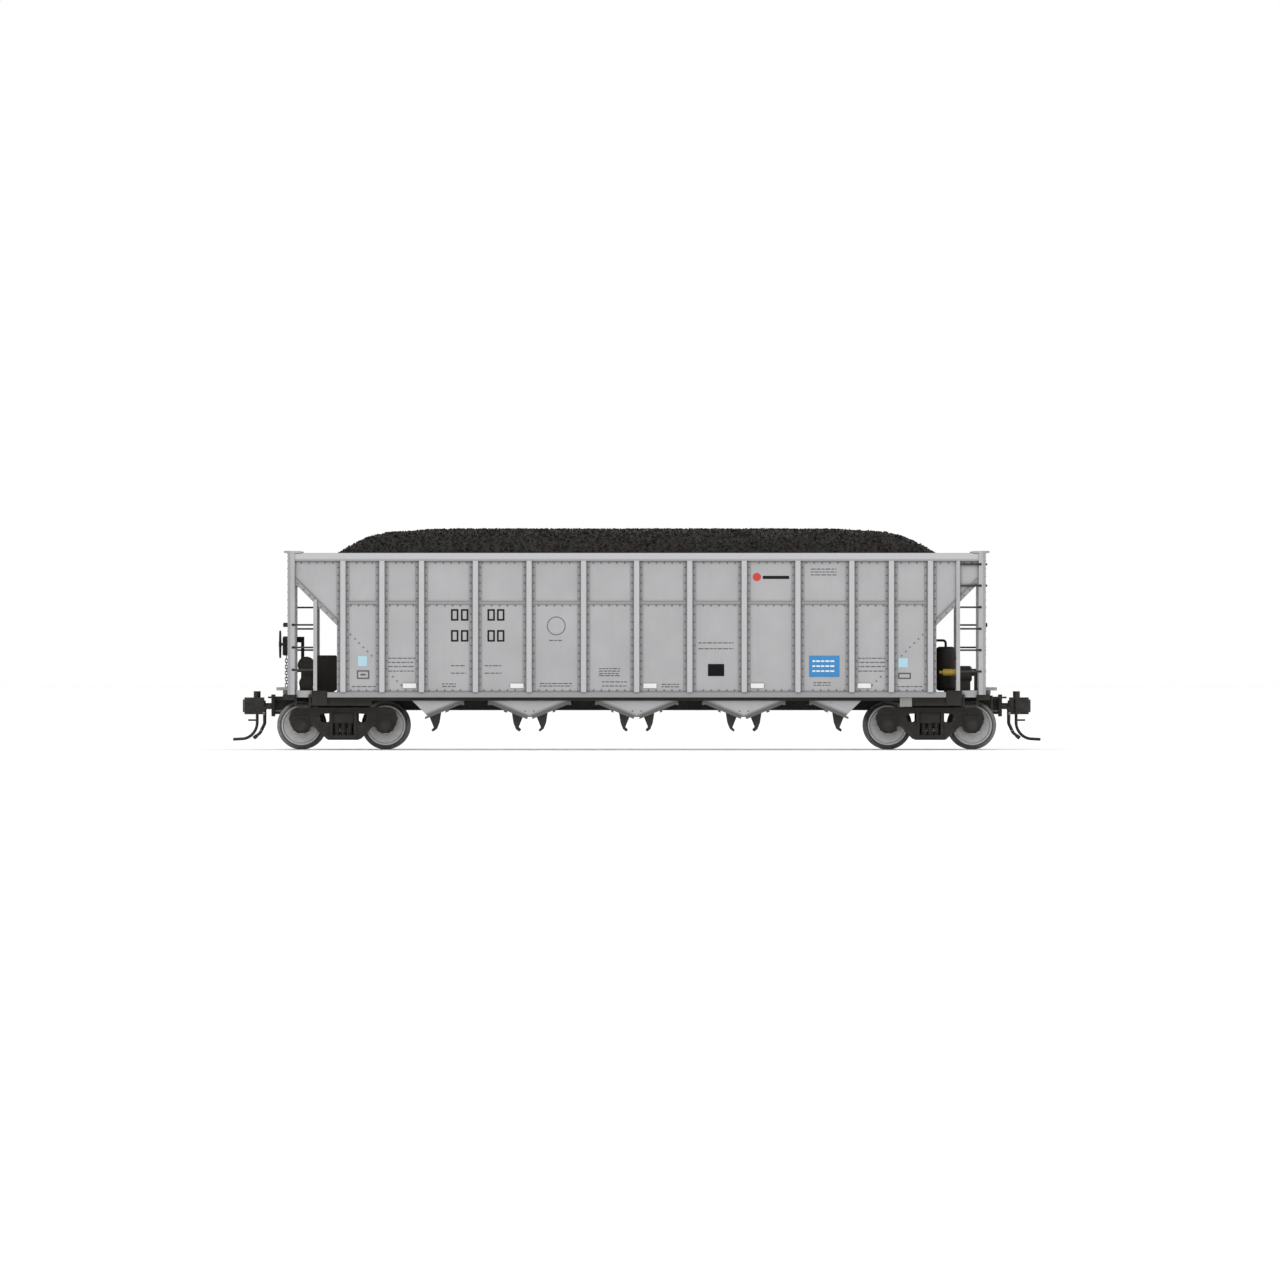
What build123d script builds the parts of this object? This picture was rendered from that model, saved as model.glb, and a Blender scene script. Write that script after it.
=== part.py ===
from build123d import *
import os

# A 1:87.1 scale model of a five-bay rapid-discharge coal hopper car.
# +X runs along the car to its A end, +Z is up, and the origin lies under the middle of the car
# on the surface that the wheel flanges stand on. The B end is at -X and carries the hand brake.
# The two ends match under a half turn about Z, apart from their brake equipment.
# All lengths are millimetres on the model.

INCH = 25.4 / 87.1  # one inch of the full-size car

# Track and running gear
TREAD_R = 36 * INCH / 2
FLANGE_DEPTH = 0.635
AXLE_Z = TREAD_R + FLANGE_DEPTH
FLANGE_R = AXLE_Z
WHEEL_BACK = 7.185  # half of the back-to-back distance
WHEEL_WIDTH = 2.79
WHEEL_FRONT = WHEEL_BACK + WHEEL_WIDTH
HALF_WHEELBASE = 70 * INCH / 2
TRUCK_X = 486 * INCH / 2  # half of the distance between truck centres
AXLE_R = 1.15
JOURNAL_R = 0.95
AXLE_TIP_Y = 13.0
CONE_START_Y = 11.3
TIP_R = 0.06
RUNNING_GAP = 0.08

# Body envelope
SHEET_IN = 16.9  # inner face of the side sheets
SHEET_OUT = 17.6
POST_OUT = 18.45
CORNER_OUT = 18.57
END_IN = 82.5  # inner face of the end frames
END_OUT = 84.2
FLOOR_Z = 12.66  # top of the underframe and foot of the side sills
DECK_Z = 13.3
CHORD_BOTTOM = 45.6
CHORD_TOP = 47.5
SILL_TOP = 13.9
SILL_HALF = 74.6
SIDE_END_X = 72.3  # where the side sheets stop below the slope sheets
SLOPE_OFFSET = 42.3  # underside of a slope sheet: x - z = SLOPE_OFFSET
SLOPE_SKIN = 0.99  # height of a slope sheet, measured upwards
POST_PLACES = (0, 12.8, 25.95, 38.9, 51.9, 61.45, TRUCK_X)
END_POSTS = (2.8, 11.9)
END_POST_HALF = 0.375
LAP_Z = 35.2

# Hopper bays
BAY_PITCH = 25.88
DOOR_REACH = 10.1  # from a bay's middle to its door hinges
HINGE_Z = 11.85
APEX_Z = 7.9
APEX_HALF = 0.5
SILL_GAP = 2.7  # doors and hoods start this far from the middle of the centre sill
BAY_IN = 15.5
BAY_OUT = 16.1
DOOR_SKIN = 0.55

# Couplers
COUPLER_Z = AXLE_Z - TREAD_R + 9.92  # centre height above the standing surface
PIVOT_X = 80.0
POST_R = 1.15
SHANK_HALF_HEIGHT = 0.7
POCKET_HALF = 2.75
POCKET_ROOF = 11.9
LID_BOTTOM, LID_TOP = 8.55, 9.3
RING_BOTTOM = 9.6
BOX_HALF = 3.4
BOX_START = 76.4
STRIKER_X = 87.6
STRIKER_FACE = 88.4
HEAD_START, HEAD_FACE = 90.2, 95.4
HEAD_BOTTOM, HEAD_TOP = COUPLER_Z - 2.05, COUPLER_Z + 2.05
KNUCKLE_PIN = (91.95, -1.15)
KNUCKLE_HALF_HEIGHT = 1.55
PIN_R = 0.3

RUNG_HEIGHTS = (18.9, 24.05, 29.2, 34.4, 39.6, 44.75)
LOW_RUNG_HEIGHTS = (19.3, 24.7)
SAFETY_RAIL_Z = 30.15
LADDER_FOOT = 14.3
WIRE_R = 0.22

os.makedirs("parts", exist_ok=True)


def block(x_span, y_span, z_span, mode=Mode.ADD):
    """A box between two limits along each axis, in the open part."""
    spans = (x_span, y_span, z_span)
    with Locations(tuple((low + high) / 2 for low, high in spans)):
        Box(*(abs(high - low) for low, high in spans), mode=mode)


def plate(plane, outline, thickness, mode=Mode.ADD):
    """A straight-sided outline on a plane, thickened along the plane's normal."""
    with BuildSketch(plane) as section:
        with BuildLine():
            Polyline(*outline, close=True)
        make_face()
    extrude(section.sketch, amount=thickness, mode=mode)


def prism(outline, y_span, mode=Mode.ADD):
    """An outline of (x, z) points, carried across Y between two limits."""
    low, high = sorted(y_span)
    plate(Plane.XZ.offset(-high), outline, high - low, mode)


def rod(start, end, radius, mode=Mode.ADD):
    """A round bar between two points."""
    along = Vector(*end) - Vector(*start)
    with BuildSketch(Plane(origin=start, z_dir=along)) as section:
        Circle(radius)
    extrude(section.sketch, amount=along.length, mode=mode)


def bent_wire(points, bend, radius):
    """A round wire along straight runs with bends of one radius."""
    with BuildLine() as path:
        FilletPolyline(*points, radius=bend)
    with BuildSketch(Plane(origin=path.line @ 0, z_dir=path.line % 0)) as section:
        Circle(radius)
    sweep(section.sketch, path=path.line)


def other_end(piece):
    """The same piece at the B end: a half turn about Z."""
    with BuildPart() as turned:
        add(piece.part.rotate(Axis.Z, 180))
    return turned


def save(piece, label):
    """Names a finished sub-part and writes it as parts/LABEL.step."""
    piece.part.label = label
    export_step(piece.part, f"parts/{label}.step")


def save_both_ends(piece, name):
    """Writes an A-end piece and its twin at the B end."""
    save(piece, f"{name}_a")
    save(other_end(piece), f"{name}_b")


# ---------------------------------------------------------------- body sides


def hat_post(place, z_span):
    """One side post: a wide foot on the sheet with a raised crown."""
    foot, crown_foot, crown = 1.45, 0.82, 0.6
    foot_y = -SHEET_OUT - 0.12
    outline = [
        (-foot, -SHEET_OUT),
        (-foot, foot_y),
        (-crown_foot, foot_y),
        (-crown, -POST_OUT),
        (crown, -POST_OUT),
        (crown_foot, foot_y),
        (foot, foot_y),
        (foot, -SHEET_OUT),
    ]
    plate(Plane.XY.offset(z_span[0]), [(place + x, y) for x, y in outline], z_span[1] - z_span[0])


def side_panel():
    """The side at -Y: sheet, posts, top chord, side sill, lap seam and slope flanges."""
    slope_end_z = SIDE_END_X - SLOPE_OFFSET
    half_outline = [
        (END_IN, CHORD_BOTTOM + 0.5),
        (END_IN, END_IN - SLOPE_OFFSET),
        (SIDE_END_X, slope_end_z),
        (SIDE_END_X, SILL_TOP - 0.5),
    ]
    flange_width = 1.4
    flange_out = 18.0
    with BuildPart() as panel:
        prism(half_outline + [(-x, z) for x, z in reversed(half_outline)], (-SHEET_OUT, -SHEET_IN))
        for place in sorted({sign * place for place in POST_PLACES for sign in (-1, 1)}):
            hat_post(place, (SILL_TOP, CHORD_BOTTOM))
        block((-END_IN, END_IN), (-POST_OUT, -SHEET_IN), (CHORD_BOTTOM, CHORD_TOP))
        fillet(panel.edges().filter_by(Axis.X).group_by(Axis.Z)[-1].sort_by(Axis.Y)[0], 0.25)
        block((-SILL_HALF, SILL_HALF), (-18.1, -SHEET_IN), (FLOOR_Z, SILL_TOP))
        block((-TRUCK_X, TRUCK_X), (-SHEET_OUT - 0.25, -SHEET_OUT), (LAP_Z, LAP_Z + 0.55))
        for end in (-1, 1):
            prism(
                [
                    (end * END_IN, END_IN - SLOPE_OFFSET),
                    (end * SIDE_END_X, slope_end_z),
                    (end * SIDE_END_X, slope_end_z + flange_width),
                    (end * END_IN, END_IN - SLOPE_OFFSET + flange_width),
                ],
                (-flange_out, -SHEET_OUT),
            )
    return panel


# ---------------------------------------------------------------- body ends


def end_frame(extra_posts=()):
    """End sheet, end chord, corner posts and end posts with the perforated centre strip."""
    inner = CORNER_OUT - 1.97
    sheet_foot = END_IN - SLOPE_OFFSET + SLOPE_SKIN
    strip_half, strip_foot = 1.2, 30.3
    with BuildPart() as frame:
        block((END_IN, END_IN + 0.7), (-inner, inner), (sheet_foot, CHORD_TOP))
        block((END_IN, END_OUT), (-inner, inner), (CHORD_TOP - 1.8, CHORD_TOP))
        block((END_IN, END_OUT - 0.3), (-inner, inner), (sheet_foot, sheet_foot + 0.4))
        for side in (-1, 1):
            block((END_IN, END_OUT), (side * inner, side * CORNER_OUT), (DECK_Z, CHORD_TOP))
            with BuildSketch(Plane.XY.offset(CHORD_TOP)):
                Polygon(
                    (81.0, side * CORNER_OUT),
                    (85.1, side * CORNER_OUT),
                    (85.1, side * 15.6),
                    (84.1, side * 14.6),
                    (END_IN, side * 14.6),
                    (81.0, side * 16.1),
                    align=None,
                )
            extrude(amount=0.5)
        for place in [side * post for post in END_POSTS for side in (-1, 1)] + list(extra_posts):
            block(
                (END_IN + 0.1, END_OUT),
                (place - END_POST_HALF, place + END_POST_HALF),
                (DECK_Z, CHORD_TOP - 1.0),
            )
        block((END_IN + 0.6, END_IN + 1.0), (-strip_half, strip_half), (strip_foot, sheet_foot))
        for height in (strip_foot, 35.5):
            block((END_IN + 0.6, END_IN + 1.0), (-END_POSTS[0], END_POSTS[0]), (height, height + 0.5))
        with BuildSketch(Plane.YZ.offset(END_IN + 0.6)):
            with Locations(*[(0, 31.7 + 1.9 * step) for step in range(5)]):
                Circle(0.32)
        extrude(amount=0.4, mode=Mode.SUBTRACT)
    return frame


def slope_sheet():
    """The sloping end floor, with two tongues that reach down beside the centre sill."""
    step_z = FLOOR_Z + 0.04
    tongue_foot = 8.9
    with BuildPart() as sheet:
        prism(
            [
                (END_IN, END_IN - SLOPE_OFFSET),
                (END_IN, END_IN - SLOPE_OFFSET + SLOPE_SKIN),
                (step_z + SLOPE_OFFSET - SLOPE_SKIN, step_z),
                (step_z + SLOPE_OFFSET, step_z),
            ],
            (-SHEET_IN, SHEET_IN),
        )
        for side in (-1, 1):
            prism(
                [
                    (step_z + SLOPE_OFFSET, step_z),
                    (step_z + SLOPE_OFFSET - SLOPE_SKIN, step_z),
                    (tongue_foot + SLOPE_OFFSET - SLOPE_SKIN, tongue_foot),
                    (tongue_foot + SLOPE_OFFSET, tongue_foot),
                ],
                (side * SILL_GAP, side * (BAY_IN - 0.05)),
            )
    return sheet


# ---------------------------------------------------------------- hopper floor


def floor_hoods():
    """Inverted troughs: one over the centre sill, and cross hoods between the bays."""
    skin = 0.7
    peak = 16.0
    half = SILL_GAP
    reach = FLOOR_Z + SLOPE_OFFSET - SLOPE_SKIN - 0.05
    foot_z = 12.0
    cross_half = BAY_PITCH / 2 - DOOR_REACH + 0.3
    with BuildPart() as hoods:
        with BuildSketch(Plane.YZ.offset(-reach)):
            Polygon((-half, FLOOR_Z), (0, peak), (half, FLOOR_Z), (half - skin, FLOOR_Z),
                    (0, peak - 0.9), (skin - half, FLOOR_Z), align=None)
        extrude(amount=2 * reach)
        for place in [BAY_PITCH * step for step in (-1.5, -0.5, 0.5, 1.5)]:
            for side in (-1, 1):
                prism(
                    [
                        (place - cross_half, foot_z),
                        (place, peak + 0.3),
                        (place + cross_half, foot_z),
                        (place + cross_half - skin, foot_z),
                        (place, peak - 0.7),
                        (place - cross_half + skin, foot_z),
                    ],
                    (side * (SILL_GAP + 0.01), side * BAY_IN),
                )
    return hoods


def door_drop(distance):
    """Height of a closed door's upper face at a distance from the bay's middle."""
    slope = (HINGE_Z - APEX_Z) / (DOOR_REACH - APEX_HALF)
    return APEX_Z + (distance - APEX_HALF) * slope


def bay_side_plates():
    """The ten V-shaped plates that close the bays under the side sills."""
    outline = [(-DOOR_REACH, HINGE_Z), (DOOR_REACH, HINGE_Z), (APEX_HALF, APEX_Z), (-APEX_HALF, APEX_Z)]
    end_middle = 2 * BAY_PITCH
    meeting = 50.5
    end_outline = [
        (end_middle - DOOR_REACH, HINGE_Z),
        (HINGE_Z + SLOPE_OFFSET, HINGE_Z),
        (meeting, meeting - SLOPE_OFFSET),
    ]
    with BuildPart() as plates:
        for side in (-1, 1):
            for place in (-BAY_PITCH, 0, BAY_PITCH):
                prism([(place + x, z) for x, z in outline], (side * BAY_IN, side * BAY_OUT))
            for end in (-1, 1):
                prism([(end * x, z) for x, z in end_outline], (side * BAY_IN, side * BAY_OUT))
    return plates


def door(middle, way, side):
    """One door half: plate, hinge barrel and hook. way is +1 for a door that hangs on the +X edge."""
    gap = APEX_HALF + 0.15
    far = DOOR_REACH - 0.1
    place = [
        (middle + way * gap, door_drop(gap) - 0.01),
        (middle + way * far, door_drop(far) - 0.01),
        (middle + way * far, door_drop(far) - 0.01 - DOOR_SKIN),
        (middle + way * gap, door_drop(gap) - 0.01 - DOOR_SKIN),
    ]
    hook = [
        (1.7, 8.0), (4.3, 9.1), (3.9, 6.5), (3.3, 4.95), (2.5, 4.35), (2.15, 4.75), (2.75, 5.4),
    ]
    prism(place, (side * SILL_GAP, side * BAY_OUT))
    prism([(middle + way * x, z) for x, z in hook], (side * 12.0, side * 13.0))
    rib = [(5.6, 9.5), (6.2, 9.75), (6.2, 9.2), (5.6, 8.95)]
    prism([(middle + way * x, z) for x, z in rib], (side * 3.2, side * 15.6))
    hinge = (middle + way * (DOOR_REACH - 0.35), door_drop(DOOR_REACH) - 0.75)
    rod((hinge[0], side * 3.4, hinge[1]), (hinge[0], side * 15.9, hinge[1]), 0.33)


def bay_doors(side):
    """All eight door halves on one side of the centre sill."""
    with BuildPart() as doors:
        for step in (-1, 0, 1):
            for way in (-1, 1):
                door(BAY_PITCH * step, way, side)
        for end in (-1, 1):
            door(end * 2 * BAY_PITCH, -end, side)
    return doors


def cross_ties():
    """Three ties between the sides, which the load rests on."""
    top = 41.25
    with BuildPart() as ties:
        for place in (-38.9, 0, 38.9):
            block((place - 0.5, place + 0.5), (-SHEET_IN, SHEET_IN), (top - 1.4, top))
            for side in (-1, 1):
                block((place - 1.6, place + 1.6), (side * 16.5, side * SHEET_IN), (top - 3.2, top))
    return ties


def coal_load():
    """The lift-out load: a flat-bottomed heap."""
    foot, shoulder = 41.25, 43.0
    corner_cut = 3.8  # lets the load lift out past the corner caps
    heap = (
        (shoulder, 82.2, 16.6, corner_cut),
        (46.0, 75.8, 16.6, corner_cut),
        (47.5, 72.3, 14.4, 3.4),
        (49.4, 69.1, 11.9, 3.2),
        (51.6, 64.9, 8.3, 3.0),
        (52.7, 60.0, 6.3, 3.0),
        (53.3, 51.0, 4.6, 3.0),
        (53.6, 44.0, 3.3, 2.6),
    )
    with BuildPart() as load:
        for height, half_x, half_y, corner in heap:
            with BuildSketch(Plane.XY.offset(height)):
                RectangleRounded(2 * half_x, 2 * half_y, corner)
        loft(ruled=True)
        with BuildSketch(Plane.XY.offset(foot)):
            RectangleRounded(2 * 82.2, 2 * 16.6, corner_cut)
        extrude(amount=shoulder - foot)
    return load


# ---------------------------------------------------------------- underframe


def bolster_on(place):
    """A body bolster: web, top plate, end plates and the centre boss."""
    web_half, plate_half, end_half = 2.0, 3.6, 7.0
    boss_foot = 9.55
    half_web = [(4.2, 9.6), (8, 10.9), (16.3, 11.3), (16.3, FLOOR_Z)]
    web = half_web + [(-y, z) for y, z in reversed(half_web)]
    plate(Plane.YZ.offset(place - web_half), web, 2 * web_half)
    block((place - plate_half, place + plate_half), (-16.3, 16.3), (12.05, FLOOR_Z))
    for side in (-1, 1):
        block((place - end_half, place + end_half), (side * 15.6, side * 16.3), (10.6, FLOOR_Z))
    rod((place, 0, boss_foot), (place, 0, 11), 2.6)


def draft_box():
    """The A-end coupler box with its pivot post, striker and side gussets."""
    striker = [(-5.9, DECK_Z), (5.9, DECK_Z), (3.6, 8.0), (-3.6, 8.0)]
    block((TRUCK_X, STRIKER_X), (-2.2, 2.2), (9.5, FLOOR_Z))
    block((BOX_START, STRIKER_FACE), (-BOX_HALF, BOX_HALF), (LID_TOP + 0.05, FLOOR_Z))
    plate(Plane.YZ.offset(STRIKER_X), striker, STRIKER_FACE - STRIKER_X)
    block((77.0, STRIKER_FACE), (-POCKET_HALF, POCKET_HALF), (8.7, POCKET_ROOF), mode=Mode.SUBTRACT)
    rod((PIVOT_X, 0, LID_TOP + 0.05), (PIVOT_X, 0, POCKET_ROOF), POST_R)
    for side in (-1, 1):
        block((85.2, STRIKER_X), (side * BOX_HALF, side * 4.6), (11.9, FLOOR_Z))


def end_sill():
    """The A-end cross beam, with a bracket at each side behind it."""
    block((END_IN, 85.3), (-SHEET_OUT, SHEET_OUT), (12.0, DECK_Z))
    for side in (-1, 1):
        block((74.7, 77.0), (side * 15.6, side * 16.4), (10.7, FLOOR_Z))
        block((74.7, 78.4), (side * 16.4, side * 17.2), (10.7, LADDER_FOOT))


def underframe():
    """Centre sill, side stringers, bolsters, draft boxes and end sills in one casting."""
    with BuildPart() as half:
        block((0, TRUCK_X), (-2.2, 2.2), (9.5, FLOOR_Z))
        block((0, TRUCK_X), (-2.6, 2.6), (9.5, 9.95))
        for side in (-1, 1):
            block((0, TRUCK_X), (side * BAY_IN, side * (SHEET_IN - 0.05)), (HINGE_Z, FLOOR_Z))
        bolster_on(TRUCK_X)
        draft_box()
        end_sill()
        rod((TRUCK_X, 0, 9), (TRUCK_X, 0, 12.2), 0.95, mode=Mode.SUBTRACT)
        rod((PIVOT_X, 0, 9), (PIVOT_X, 0, 12.2), 0.5, mode=Mode.SUBTRACT)
    with BuildPart() as frame:
        add(half.part)
        add(half.part.rotate(Axis.Z, 180))
    return frame


def draft_box_lids():
    """The two plates that close the coupler boxes from below."""
    with BuildPart() as lids:
        for end in (-1, 1):
            block((end * BOX_START, end * STRIKER_X), (-BOX_HALF, BOX_HALF), (LID_BOTTOM, LID_TOP))
            rod((end * PIVOT_X, 0, 8), (end * PIVOT_X, 0, 10), 0.56, mode=Mode.SUBTRACT)
    return lids


def slotted_screw(place, shank_r, head_r, head_height, seat_z, length):
    """A pan-head screw driven upwards, with its head under seat_z."""
    slot = 0.3
    rod((place, 0, seat_z), (place, 0, seat_z + length), shank_r)
    rod((place, 0, seat_z - head_height), (place, 0, seat_z), head_r)
    block((place - head_r, place + head_r), (-slot / 2, slot / 2),
          (seat_z - head_height, seat_z - head_height / 2), mode=Mode.SUBTRACT)


def lid_screws():
    """The two screws that hold the coupler box lids and run up into the pivot posts."""
    with BuildPart() as screws:
        for end in (-1, 1):
            slotted_screw(end * PIVOT_X, 0.5, 1.0, 0.5, LID_BOTTOM, 2.9)
    return screws


def kingpin_screws():
    """The two screws that hold the trucks and that they turn on."""
    with BuildPart() as screws:
        for end in (-1, 1):
            slotted_screw(end * TRUCK_X, 0.95, 1.9, 0.8, 5.15, 6.9)
    return screws


def end_decks():
    """The floor at each end that the brake equipment stands on, with raised edges and corner blocks."""
    with BuildPart() as decks:
        for end in (-1, 1):
            block((end * SILL_HALF, end * END_IN), (-16.4, 16.4), (FLOOR_Z, DECK_Z))
            for side in (-1, 1):
                block((end * 77.0, end * 82.2), (side * 15.8, side * 16.4), (DECK_Z, LADDER_FOOT))
                block((end * 78.4, end * 82.2), (side * 13.3, side * 15.8), (DECK_Z, LADDER_FOOT))
    return decks


# ---------------------------------------------------------------- details of both ends


def side_ladder(side, top, rungs):
    """A stile with rungs that reach the corner post, on one side of the car."""
    stile = (77.1, 78.0)
    near, far = side * 18.0, side * 18.5
    with BuildPart() as ladder:
        block(stile, (near, far), (LADDER_FOOT, top))
        block(stile, (side * 16.4, far), (LADDER_FOOT, LADDER_FOOT + 0.4))
        for height in rungs:
            rod((stile[1] - 0.2, side * 18.25, height), (END_IN, side * 18.25, height), WIRE_R)
    return ladder


def ladders():
    """A-end ladders: full height at the -Y corner, low grab irons at the +Y corner."""
    post_face = END_POSTS[1] + END_POST_HALF
    corner_face = CORNER_OUT - 1.97
    rung_x = END_OUT - 0.3
    full = side_ladder(-1, CHORD_BOTTOM, RUNG_HEIGHTS)
    low = side_ladder(1, 36.3, LOW_RUNG_HEIGHTS + (SAFETY_RAIL_Z,))
    with BuildPart() as group:
        add(full.part)
        add(low.part)
        for height in RUNG_HEIGHTS:
            rod((rung_x, -corner_face, height), (rung_x, -post_face, height), WIRE_R)
        for height in LOW_RUNG_HEIGHTS:
            rod((rung_x, post_face, height), (rung_x, corner_face, height), WIRE_R)
        rod((END_OUT + WIRE_R, END_POSTS[0] - 0.5, SAFETY_RAIL_Z),
            (END_OUT + WIRE_R, CORNER_OUT - 0.2, SAFETY_RAIL_Z), WIRE_R)
    return group


def crossover_platform():
    """The perforated step plate across the end, on two brackets."""
    near, far, half = END_OUT + 0.02, 87.1, 8.6
    bottom, top = 14.3, 15.05
    with BuildPart() as platform:
        block((near, far), (-half, half), (bottom, top))
        with BuildSketch(Plane.XY.offset(bottom)):
            with Locations(((near + far) / 2, 0)):
                with GridLocations(0.95, 1.4, 2, 12):
                    Rectangle(0.55, 1.0)
        extrude(amount=top - bottom, mode=Mode.SUBTRACT)
        for side in (-1, 1):
            block((near + 0.1, 85.6), (side * 3.6, side * 5.7), (DECK_Z, bottom))
    return platform


def stirrup_steps():
    """Four U-shaped steps under the corners."""
    leg = 0.5
    with BuildPart() as steps:
        for end in (-1, 1):
            for side in (-1, 1):
                across = (side * 16.4, side * (16.4 + leg))
                for place in (78.6, 82.0):
                    block((end * place, end * (place + leg)), across, (10.4, DECK_Z))
                block((end * 78.6, end * 82.5), across, (10.4, 10.9))
    return steps


def air_hoses():
    """Two moulded hoses with their end fittings, for brakes and for door control."""
    start = STRIKER_FACE + 0.06
    with BuildPart() as hoses:
        for side in (-1, 1):
            y = side * 4.1
            bent_wire(
                [(start, y, 10.3), (90.1, y, 10.0), (90.1, y, 6.3), (91.2, y, 4.0), (92.1, y, 3.3)],
                0.75,
                0.33,
            )
            rod((start, y, 10.3), (89.2, y, 10.19), 0.5)
            with Locations(Location((92.35, y, 3.05), (0, 40, 0))):
                Box(0.95, 0.75, 0.85)
    return hoses


def cut_lever():
    """The uncoupling lever: a wire along the end sill with a handle at the corner."""
    sill_face = 85.3
    x = sill_face + WIRE_R + 0.12
    with BuildPart() as lever:
        bent_wire([(x, -16.2, 9.4), (x, -16.2, 12.6), (x, -7.6, 12.6), (89.4, -6.2, 12.6)], 0.6, WIRE_R)
        for place in (-14.2, -9.2):
            block((sill_face, x + WIRE_R + 0.1), (place - 0.35, place + 0.35), (12.1, 13.1))
    return lever


def tag_plates():
    """The small plates on the side stringers beside two of the truck bolsters."""
    with BuildPart() as plates:
        for end in (-1, 1):
            block((end * 63.5, end * 66.4), (-end * 16.85, -end * 17.25), (10.4, 12.6))
            block((end * 63.6, end * 66.3), (-end * 16.3, -end * 16.85), (10.7, HINGE_Z - 0.02))
    return plates


# ---------------------------------------------------------------- brake equipment

BRAKE_Y, BRAKE_Z = 5.1, 25.45
BRAKE_HUB_X = -86.2


def brake_housing():
    """The hand brake gear housing on the B-end posts."""
    front = BRAKE_HUB_X + 0.35
    with BuildPart() as housing:
        block((front, -END_OUT), (BRAKE_Y - 1.7, BRAKE_Y + 1.7), (22.7, 27.4))
        fillet(housing.edges().filter_by(Axis.X), 0.8)
        chamfer(housing.faces().sort_by(Axis.X)[0].edges(), 0.3)
        for height in (22.9, 26.6):
            block((-END_OUT - 0.35, -END_OUT), (2.5, 7.7), (height, height + 0.6))
        rod((front - 0.05, BRAKE_Y, BRAKE_Z), (front + 1.2, BRAKE_Y, BRAKE_Z), 0.36, mode=Mode.SUBTRACT)
    return housing


def brake_wheel():
    """A spoked hand wheel with the shaft that turns in the housing."""
    rim_r, wire = 3.15, 0.24
    x = BRAKE_HUB_X
    with BuildPart() as wheel:
        with BuildSketch(Plane.XY.offset(BRAKE_Z)):
            with Locations((x - 0.25, BRAKE_Y + rim_r)):
                RegularPolygon(wire, 12)
        revolve(axis=Axis((x, BRAKE_Y, BRAKE_Z), (1, 0, 0)))
        rod((x - 0.6, BRAKE_Y, BRAKE_Z), (x + 0.1, BRAKE_Y, BRAKE_Z), 0.62)
        rod((x, BRAKE_Y, BRAKE_Z), (x + 1.35, BRAKE_Y, BRAKE_Z), PIN_R)
        centre = Vector(x - 0.25, BRAKE_Y, BRAKE_Z)
        for step in range(6):
            spoke = Vector(0, 1, 0).rotate(Axis.X, 60 * step + 30)
            rod(tuple(centre + spoke * 0.4), tuple(centre + spoke * (rim_r - 0.1)), 0.17)
    return wheel


def brake_chain():
    """The chain from the hand brake down to the platform, as a plain bar of its width."""
    x = -END_OUT - 0.75
    with BuildPart() as chain:
        rod((x, BRAKE_Y, 15.05), (x, BRAKE_Y, 22.7), 0.32)
    return chain


def brake_reservoir():
    """The two-part air reservoir across the B end: a tank with domed ends and a middle flange."""
    x, z, radius, half = -76.5, 18.7, 3.0, 6.9
    with BuildPart() as tank:
        rod((x, -half, z), (x, half, z), radius)
        fillet(tank.edges().filter_by(GeomType.CIRCLE), 1.2)
        rod((x, -0.5, z), (x, 0.5, z), radius + 0.45)
        for place in (-3.6, 3.6):
            rod((x, place - 0.3, z), (x, place + 0.3, z), radius + 0.12)
    return tank


def reservoir_bracket():
    """Two end plates and a strap floor that carry the reservoir, with the brake mast beside them."""
    outer, inner = -77.6, -72.4
    with BuildPart() as bracket:
        for side in (-1, 1):
            prism(
                [(outer, DECK_Z), (outer, 22.2), (outer + 0.6, 22.8), (inner - 0.6, 22.8),
                 (inner, 22.2), (inner, 14.6), (-SILL_HALF, DECK_Z)],
                (side * 6.9, side * 7.5),
            )
        block((outer, -SILL_HALF), (-6.9, 6.9), (DECK_Z, DECK_Z + 0.7))
        prism([(-81.4, DECK_Z), (-81.4, 25.9), (-82.4, 25.9), (-82.4, 27.3), (-80.6, 27.3), (-80.6, DECK_Z)],
              (4.6, 5.3))
    return bracket


def control_valve():
    """The brake control valve: two round bodies on one foot, bolted covers and a pipe to the reservoir."""
    x, near, far = -79.8, -9.4, -12.6
    with BuildPart() as valve:
        block((-81.4, -78.2), (far, near), (DECK_Z, 15.6))
        fillet(valve.edges().filter_by(Axis.Z), 0.5)
        rod((x, far, 16.1), (x, near, 16.1), 1.75)
        block((x - 1.1, x + 1.1), (far + 0.4, near - 0.4), (16.1, 20.4))
        rod((x, far, 20.4), (x, near, 20.4), 2.1)
        for height, radius in ((16.1, 1.3), (20.4, 1.6)):
            rod((x, far - 0.5, height), (x, far, height), radius)
            rod((x, far - 0.8, height), (x, far - 0.5, height), 0.6)
        bent_wire([(-78.4, -11.0, 14.5), (-76.4, -11.0, 14.5), (-76.4, -7.5, 14.5)], 0.7, 0.35)
    return valve


CYLINDER_Y, CYLINDER_Z = -11.4, 18.3


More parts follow.
